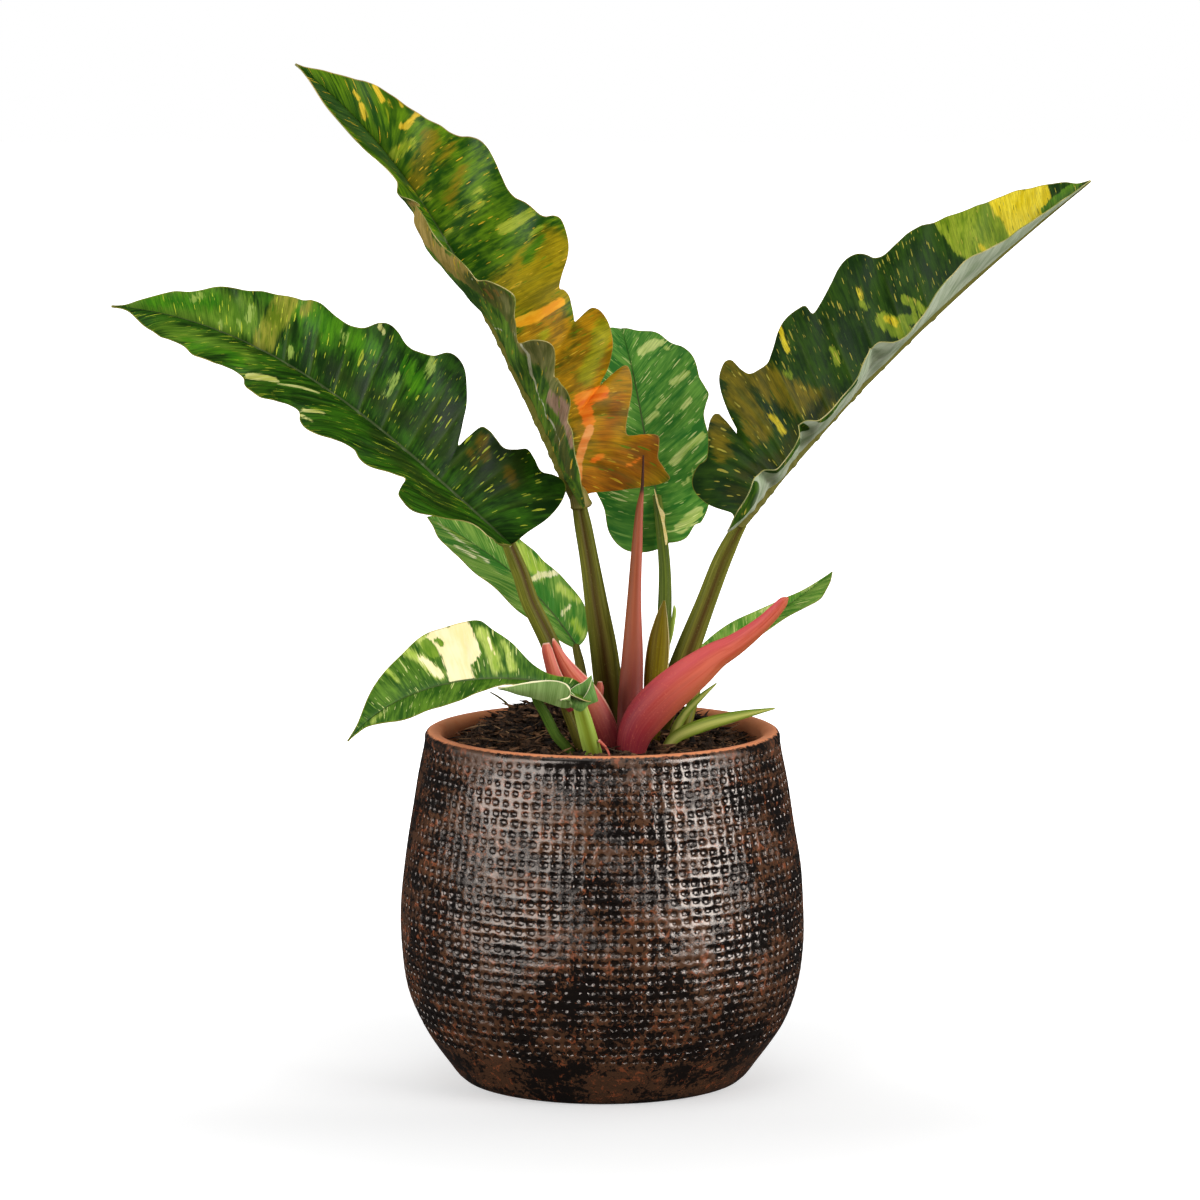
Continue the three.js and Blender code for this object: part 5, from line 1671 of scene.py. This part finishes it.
def make_underside_material(name, look, settings):
    tree, flesh = new_material(f"underside {name}")
    colour, both, hair = blade_colour(tree, look)
    pale = mix(tree, ramp(tree, both, 0.36, 0.62), settings.pale, "#cfd8bc")
    bloom = look.get("bloom", UNDERSIDE_BLOOM)
    shown = bloom
    if "bare" in look["tints"]:
        shown = ramp(tree, value_of(tree, "bare"), -0.4, 0.4, bloom, 0.0)
    colour = mix(tree, shown, colour, pale)
    colour = mix(tree, times(tree, value_of(tree, "vein"), 0.35 * bloom), colour, "#dfe3cf")
    spine = value_of(tree, "keel")
    colour = mix(tree, ramp(tree, spine, 0.02, 0.2, 0.0, 0.7), colour, "#3a4014")
    keel = mix(tree, hair, look.get("keel", "#5f6a26"), "#8a7d3a")
    colour = mix(tree, ramp(tree, spine, 0.22, 0.5, 0.0, 0.95), colour, keel)
    margin = ramp(tree, value_of(tree, "edge"), 0.8, 0.2, 0.0, 0.75)
    colour = mix(tree, margin, colour, look.get("rim", "#c9c79a"))
    finish_flesh(tree, flesh, colour, ramp(tree, both, 0.3, 0.7, 0.45, 0.6), hair, 0.3)


def make_margin_material(name):
    tree, flesh = new_material(f"margin {name}")
    place = noise(tree, object_coordinates(tree), 60.0)
    colour = mix(tree, ramp(tree, place, 0.4, 0.6), "#7a8030", "#bcae6c")
    feed(tree, flesh, {"Base Color": colour, "Roughness": 0.5})


def make_stalk_material(name, first, second, groove, edging):
    tree, flesh = new_material(name)
    flat = flat_coordinates(tree)
    fine = streaks(tree, flat, STEM_HAIR)
    broad = streaks(tree, flat, STALK_STREAKS)
    both = weighted(tree, fine, 0.5, broad, 0.5)
    colour = mix(tree, ramp(tree, both, 0.38, 0.62), first, second)
    sunk = times(tree, value_of(tree, "groove"), ramp(tree, broad, 0.3, 0.6, 0.6, 1.0))
    colour = mix(tree, sunk, colour, groove)
    specks = noise(tree, object_coordinates(tree), 900.0, 2.0)
    colour = mix(tree, ramp(tree, specks, 0.62, 0.72, 0.0, 0.2), colour, "#a0a050")
    # Painted shade: the lower half of the stem darkens to the groove's colour towards the foot
    colour = mix(tree, ramp(tree, value_of(tree, "reach"), 0.45, 1.0, 0.0, 0.55), colour, groove)
    colour = mix(tree, ramp(tree, value_of(tree, "margin"), 0.5, 0.8), colour, edging)
    finish_flesh(tree, flesh, colour, ramp(tree, fine, 0.3, 0.7, 0.36, 0.52), fine, 0.3)


def make_sheath_material(name, shades, tip):
    """Fleshy sheath: a painted pink highlight on its upper flank, warmer below, dark at the foot."""
    tree, flesh = new_material(name)
    body, light, base, upper, lower = shades
    flat = flat_coordinates(tree)
    fine = streaks(tree, flat, STEM_HAIR)
    broad = streaks(tree, flat, SHEATH_STREAKS)
    colour = mix(tree, ramp(tree, broad, 0.36, 0.62), body, light)
    side = value_of(tree, "side")
    # Painted highlight: the upper flank takes its own colour, pink on the coral sheath, as if light fell
    # on it
    colour = mix(tree, ramp(tree, side, 0.0, 0.8, 0.0, 0.75), colour, upper)
    colour = mix(tree, ramp(tree, side, -0.2, -0.9, 0.0, 0.7), colour, lower)
    reach = value_of(tree, "reach")
    ragged = calculate(tree, "MULTIPLY_ADD", broad, 0.25, reach)
    colour = mix(tree, ramp(tree, ragged, 0.6, 0.98, 0.0, 0.92), colour, base)
    colour = mix(tree, ramp(tree, fine, 0.42, 0.65, 0.0, 0.12), colour, light)
    specks = noise(tree, object_coordinates(tree), 700.0, 2.0)
    colour = mix(tree, ramp(tree, specks, 0.6, 0.7, 0.0, 0.25), colour, light)
    tip_shade, tip_start, tip_end = tip
    colour = mix(tree, ramp(tree, reach, tip_start, tip_end, 1.0, 0.0), colour, tip_shade)
    margin = ramp(tree, value_of(tree, "margin"), 0.4, 0.8, 0.0, 0.8)
    colour = mix(tree, margin, colour, "#e8b49a")
    rough = ramp(tree, fine, 0.3, 0.7, 0.4, 0.55)
    finish_flesh(tree, flesh, colour, rough, fine, 0.3, SHEATH_GLOSS)
    inputs = {
        "Subsurface Weight": 0.08, "Subsurface Radius": (0.003, 0.001, 0.0007),
        "Subsurface Scale": 1.0,
    }
    feed(tree, flesh, inputs)


def make_pot_material(settings):
    tree, clay = new_material("glazed clay")
    place = object_coordinates(tree)
    weave = flat_coordinates(tree)
    cloud = noise(tree, place, 36.0, 6.0, 0.68, 0.3)
    bands = noise(tree, stretch(tree, place, 0.5, 0.5, 2.4), 40.0, 4.0, 0.6)
    posts = noise(tree, stretch(tree, weave, 0.55, 0.06), 1.0, 4.0, 0.6)
    rows = noise(tree, stretch(tree, weave, 0.05, 0.6), 1.0, 4.0, 0.6)
    crumbs = noise(tree, place, 330.0, 5.0, 0.7, 0.6)
    bits = noise(tree, place, 190.0, 5.0, 0.72, 0.8)
    patch = weighted(tree, cloud, 0.65, weighted(tree, posts, 0.5, rows, 0.5), 0.35)
    broken = weighted(tree, bands, 0.2, weighted(tree, crumbs, 0.4, patch, 0.6), 0.8)
    glaze = mix(tree, ramp(tree, broken, 0.49, 0.52), settings.glaze, settings.earth)
    rusty = ramp(tree, weighted(tree, patch, 0.4, bits, 0.7), 0.61, 0.65)
    glaze = mix(tree, times(tree, rusty, 0.7), glaze, settings.rust)
    pressed = ramp(tree, value_of(tree, "hole"), 0.2, 0.6)
    # Painted shade: the pressed holes darken to the black glaze
    glaze = mix(tree, times(tree, pressed, 0.8), glaze, settings.glaze)
    bare = mix(tree, noise(tree, place, 80.0, 4.0), settings.clay, "#e69a68")
    height = part_of(tree, place, "Z")
    ragged = calculate(tree, "MULTIPLY_ADD", crumbs, GLAZE_RAGGEDNESS, height)
    line = settings.height + GLAZE_END
    below = ramp(tree, ragged, line + GLAZE_BORDER, line - GLAZE_BORDER)
    coated = times(tree, below, value_of(tree, "outside"))
    worn = times(tree, ramp(tree, height, 0.196, 0.21), ramp(tree, cloud, 0.4, 0.56))
    shine = ramp(tree, crumbs, 0.3, 0.7, 0.08, 0.2)
    shine = calculate(tree, "MULTIPLY_ADD", rusty, 0.1, shine)
    shine = calculate(tree, "MULTIPLY_ADD", worn, 0.22, shine)
    dull = calculate(tree, "SUBTRACT", 1.0, coated)
    rough = calculate(tree, "MULTIPLY_ADD", dull, 0.85, shine, clamp=True)
    grain = weighted(tree, bits, 0.7, crumbs, 0.3)
    crackled = ramp(tree, noise(tree, place, 34.0, 3.0), 0.42, 0.62, 0.25, 1.0)
    skin = bump(tree, times(tree, grain, crackled), 0.8, 0.0013)
    raised = calculate(tree, "SUBTRACT", 1.0, pressed)
    inputs = {
        "Base Color": mix(tree, coated, bare, glaze),
        "Roughness": rough,
        "Specular IOR Level": 1.0,
        "Specular Tint": (1.0, 0.88, 0.8, 1.0),
        "Normal": bump(tree, raised, 0.7, 0.0006, Normal=skin),
    }
    feed(tree, clay, inputs)


def make_soil_material(name, dark, light, tone_weight):
    tree, earth = new_material(name)
    place = object_coordinates(tree)
    grain = noise(tree, place, 420.0, 5.0, 0.7)
    damp = weighted(tree, grain, 0.5, noise(tree, place, 60.0, 3.0), 0.4)
    tone = calculate(tree, "POWER", value_of(tree, "tone"), 3.4)
    dry = calculate(tree, "MULTIPLY_ADD", tone, tone_weight, damp)
    inputs = {
        "Base Color": mix(tree, ramp(tree, dry, 0.36, 0.86), dark, light),
        "Roughness": 0.75,
        "Specular IOR Level": 0.3,
        "Normal": bump(tree, grain, 0.8, 0.0012),
    }
    feed(tree, earth, inputs)


def make_materials(scene):
    make_streaks_group()
    make_flecks_group()
    for name, look in LOOKS.items():
        make_upper_material(name, look)
        make_underside_material(name, look, scene.plant_leaf)
        make_margin_material(name)
    stem, soil = scene.plant_stem, scene.plant_soil
    make_stalk_material("leaf stalk", "#545a18", stem.stalk, stem.groove, stem.groove)
    for name, shades in STEM_SHADES.items():
        make_stalk_material(name, *shades)
    for name, (shades, tip) in SHEATH_SHADES.items():
        make_sheath_material(name, shades, tip)
    make_pot_material(scene.plant_pot)
    make_soil_material("damp soil", soil.dark, soil.light, 0.0)
    make_soil_material("chips", soil.dark, soil.light, 0.45)
    make_soil_material("fibres", soil.dark, "#a07c56", 0.8)


# Stage


def make_camera():
    bpy.ops.object.camera_add(location=[c * MM for c in CAMERA_POINT])
    camera = bpy.context.object
    camera.rotation_euler = (math.radians(90 - CAMERA_TILT), 0, 0)
    camera.data.lens = FOCAL_PIXELS / PHOTO_SIZE * SENSOR
    camera.data.sensor_width = SENSOR
    camera.data.clip_end = CAMERA_REACH
    bpy.context.scene.camera = camera


def make_floor(settings):
    obj, u, v = new_grid("floor", 8, 8)
    half = settings.floor_size / MM / 2
    level = np.full(len(u), -FLOOR_DROP)
    write_points(obj, np.stack([(2 * u - 1) * half, (2 * v - 1) * half, level], axis=1))
    tree, white = new_material("white floor")
    # The floor glows for the camera only, as painted light: less in front of the pot than behind it, and
    # more further away, so the shadow fades out. Other rays see a dark grey copy of it, so it lights and
    # mirrors little.
    seen = add_node(tree, "ShaderNodeLightPath").outputs["Is Camera Ray"]
    place = object_coordinates(tree)
    distance = add_node(tree, "ShaderNodeVectorMath", {0: place}, operation="LENGTH").outputs["Value"]
    depth = part_of(tree, place, "Y")
    near = ramp(tree, depth, *GLOW_DEPTH, settings.front_glow, settings.floor_glow)
    glow = calculate(tree, "ADD", near, ramp(tree, distance, *GLOW_REACH))
    inputs = {
        "Base Color": mix(tree, seen, "#4a4644", "#dcdcdc"),
        "Roughness": 0.9,
        "Specular IOR Level": 0.0,
        "Emission Color": (1, 1, 1, 1),
        "Emission Strength": times(tree, seen, glow),
    }
    feed(tree, white, inputs)
    wear(obj, "white floor")


def make_light(name, place, size, power):
    """A soft rectangular light at one point, looking at the plant."""
    bpy.ops.object.light_add(type="AREA", location=[c * MM for c in place])
    light = bpy.context.object
    light.name = name
    light.data.shape = "RECTANGLE"
    light.data.size, light.data.size_y = (side * MM for side in size)
    light.data.energy = power
    x, y, z = np.subtract(LIT_POINT, place)
    rise = math.atan2(z, math.hypot(x, y))
    light.rotation_euler = (math.pi / 2 + rise, 0, math.atan2(y, x) - math.pi / 2)


def make_world(settings):
    world = bpy.data.worlds.new("Studio")
    bpy.context.scene.world = world
    world.use_nodes = True
    tree = world.node_tree
    seen = add_node(tree, "ShaderNodeLightPath").outputs
    dimmer = settings.room_glow - settings.room_shine
    room = calculate(tree, "MULTIPLY_ADD", seen["Is Glossy Ray"], -dimmer, settings.room_glow)
    strength = calculate(tree, "MAXIMUM", room, seen["Is Camera Ray"])
    feed(tree, tree.nodes["Background"], {"Color": (1, 1, 1, 1), "Strength": strength})


# Operators, one for each piece or group of like pieces


class PLANT_OT_materials(bpy.types.Operator):
    """Makes the finishes that the pieces wear"""

    bl_idname = "plant.materials"
    bl_label = "Materials"

    def execute(self, context):
        make_materials(context.scene)
        return {"FINISHED"}


class PLANT_OT_pot(bpy.types.Operator):
    """Adds the dimpled clay pot"""

    bl_idname = "plant.pot"
    bl_label = "Pot"

    def execute(self, context):
        make_pot(context.scene.plant_pot)
        return {"FINISHED"}


class PLANT_OT_soil(bpy.types.Operator):
    """Adds the soil with its bark and fibres"""

    bl_idname = "plant.soil"
    bl_label = "Soil"

    def execute(self, context):
        settings = context.scene.plant_soil
        make_soil(settings)
        make_litter("bark_chips", settings.chips, 11, BARK_CHIPS, "chips", settings)
        make_litter("bark_fibres", settings.fibres, 12, BARK_FIBRES, "fibres", settings)
        return {"FINISHED"}


class PLANT_OT_blades(bpy.types.Operator):
    """Adds the seven leaf blades"""

    bl_idname = "plant.blades"
    bl_label = "Blades"

    def execute(self, context):
        settings = context.scene.plant_leaf
        for name in LEAVES:
            share = 1 if name in LARGE_LEAVES else SMALL_LEAF_FACES
            make_blade(name, round(settings.columns * share), round(settings.rows * share), settings)
        return {"FINISHED"}


class PLANT_OT_stalks(bpy.types.Operator):
    """Adds the leaf stalks and their swollen joints"""

    bl_idname = "plant.stalks"
    bl_label = "Stalks"

    def execute(self, context):
        for name, stalk in STALKS.items():
            make_tube(f"stalk_skin_{name}", stalk, [f"stalk_{name}"], context.scene.plant_stem)
        return {"FINISHED"}


class PLANT_OT_shoots(bpy.types.Operator):
    """Adds the sheaths, the bud, the bracts and the stump"""

    bl_idname = "plant.shoots"
    bl_label = "Shoots"

    def execute(self, context):
        settings = context.scene.plant_stem
        for name, shoot in SHOOTS.items():
            make_tube(f"{name}_skin", shoot, [name], settings)
        for name, stem in SMALL_STEMS.items():
            make_tube(name, stem, [], settings, **SMALL_STEM_FACES)
        return {"FINISHED"}


class PLANT_OT_flaps(bpy.types.Operator):
    """Adds the curled ears at the base of the low leaf and the pale strip on the back stalk"""

    bl_idname = "plant.flaps"
    bl_label = "Flaps"

    def execute(self, context):
        for name, flap in FLAPS.items():
            make_flap(name, flap, context.scene.plant_leaf)
        return {"FINISHED"}


class PLANT_OT_stage(bpy.types.Operator):
    """Adds the floor, the lights and the camera"""

    bl_idname = "plant.stage"
    bl_label = "Stage"

    def execute(self, context):
        settings = context.scene.plant_stage
        make_floor(settings)
        make_camera()
        make_world(settings)
        for name, (turn, rise, distance, size, power) in LIGHTS.items():
            turn = math.radians(turn)
            place = (distance * math.sin(turn), -distance * math.cos(turn), rise)
            make_light(name, place, size, power * settings.light_power)
        context.scene.view_settings.view_transform = "Standard"
        return {"FINISHED"}


class PLANT_PT_panel(bpy.types.Panel):
    """Lists the pieces of the plant"""

    bl_label = "Potted plant"
    bl_idname = "PLANT_PT_panel"
    bl_space_type = "VIEW_3D"
    bl_region_type = "UI"
    bl_category = "Plant"

    def draw(self, context):
        for operator in OPERATORS:
            self.layout.operator(operator.bl_idname)


OPERATORS = (
    PLANT_OT_materials, PLANT_OT_pot, PLANT_OT_soil, PLANT_OT_blades, PLANT_OT_stalks,
    PLANT_OT_shoots, PLANT_OT_flaps, PLANT_OT_stage,
)
SETTINGS = {
    "plant_pot": PotSettings,
    "plant_soil": SoilSettings,
    "plant_leaf": LeafSettings,
    "plant_stem": StemSettings,
    "plant_stage": StageSettings,
}


def register():
    for kind in (*SETTINGS.values(), *OPERATORS, PLANT_PT_panel):
        bpy.utils.register_class(kind)
    for name, kind in SETTINGS.items():
        setattr(bpy.types.Scene, name, PointerProperty(type=kind))


def unregister():
    for name in SETTINGS:
        delattr(bpy.types.Scene, name)
    for kind in (PLANT_PT_panel, *reversed(OPERATORS), *SETTINGS.values()):
        bpy.utils.unregister_class(kind)


def main():
    register()
    bpy.ops.plant.materials()
    bpy.ops.plant.pot()
    bpy.ops.plant.soil()
    bpy.ops.plant.blades()
    bpy.ops.plant.stalks()
    bpy.ops.plant.shoots()
    bpy.ops.plant.flaps()
    bpy.ops.plant.stage()


if __name__ == "__main__":
    main()
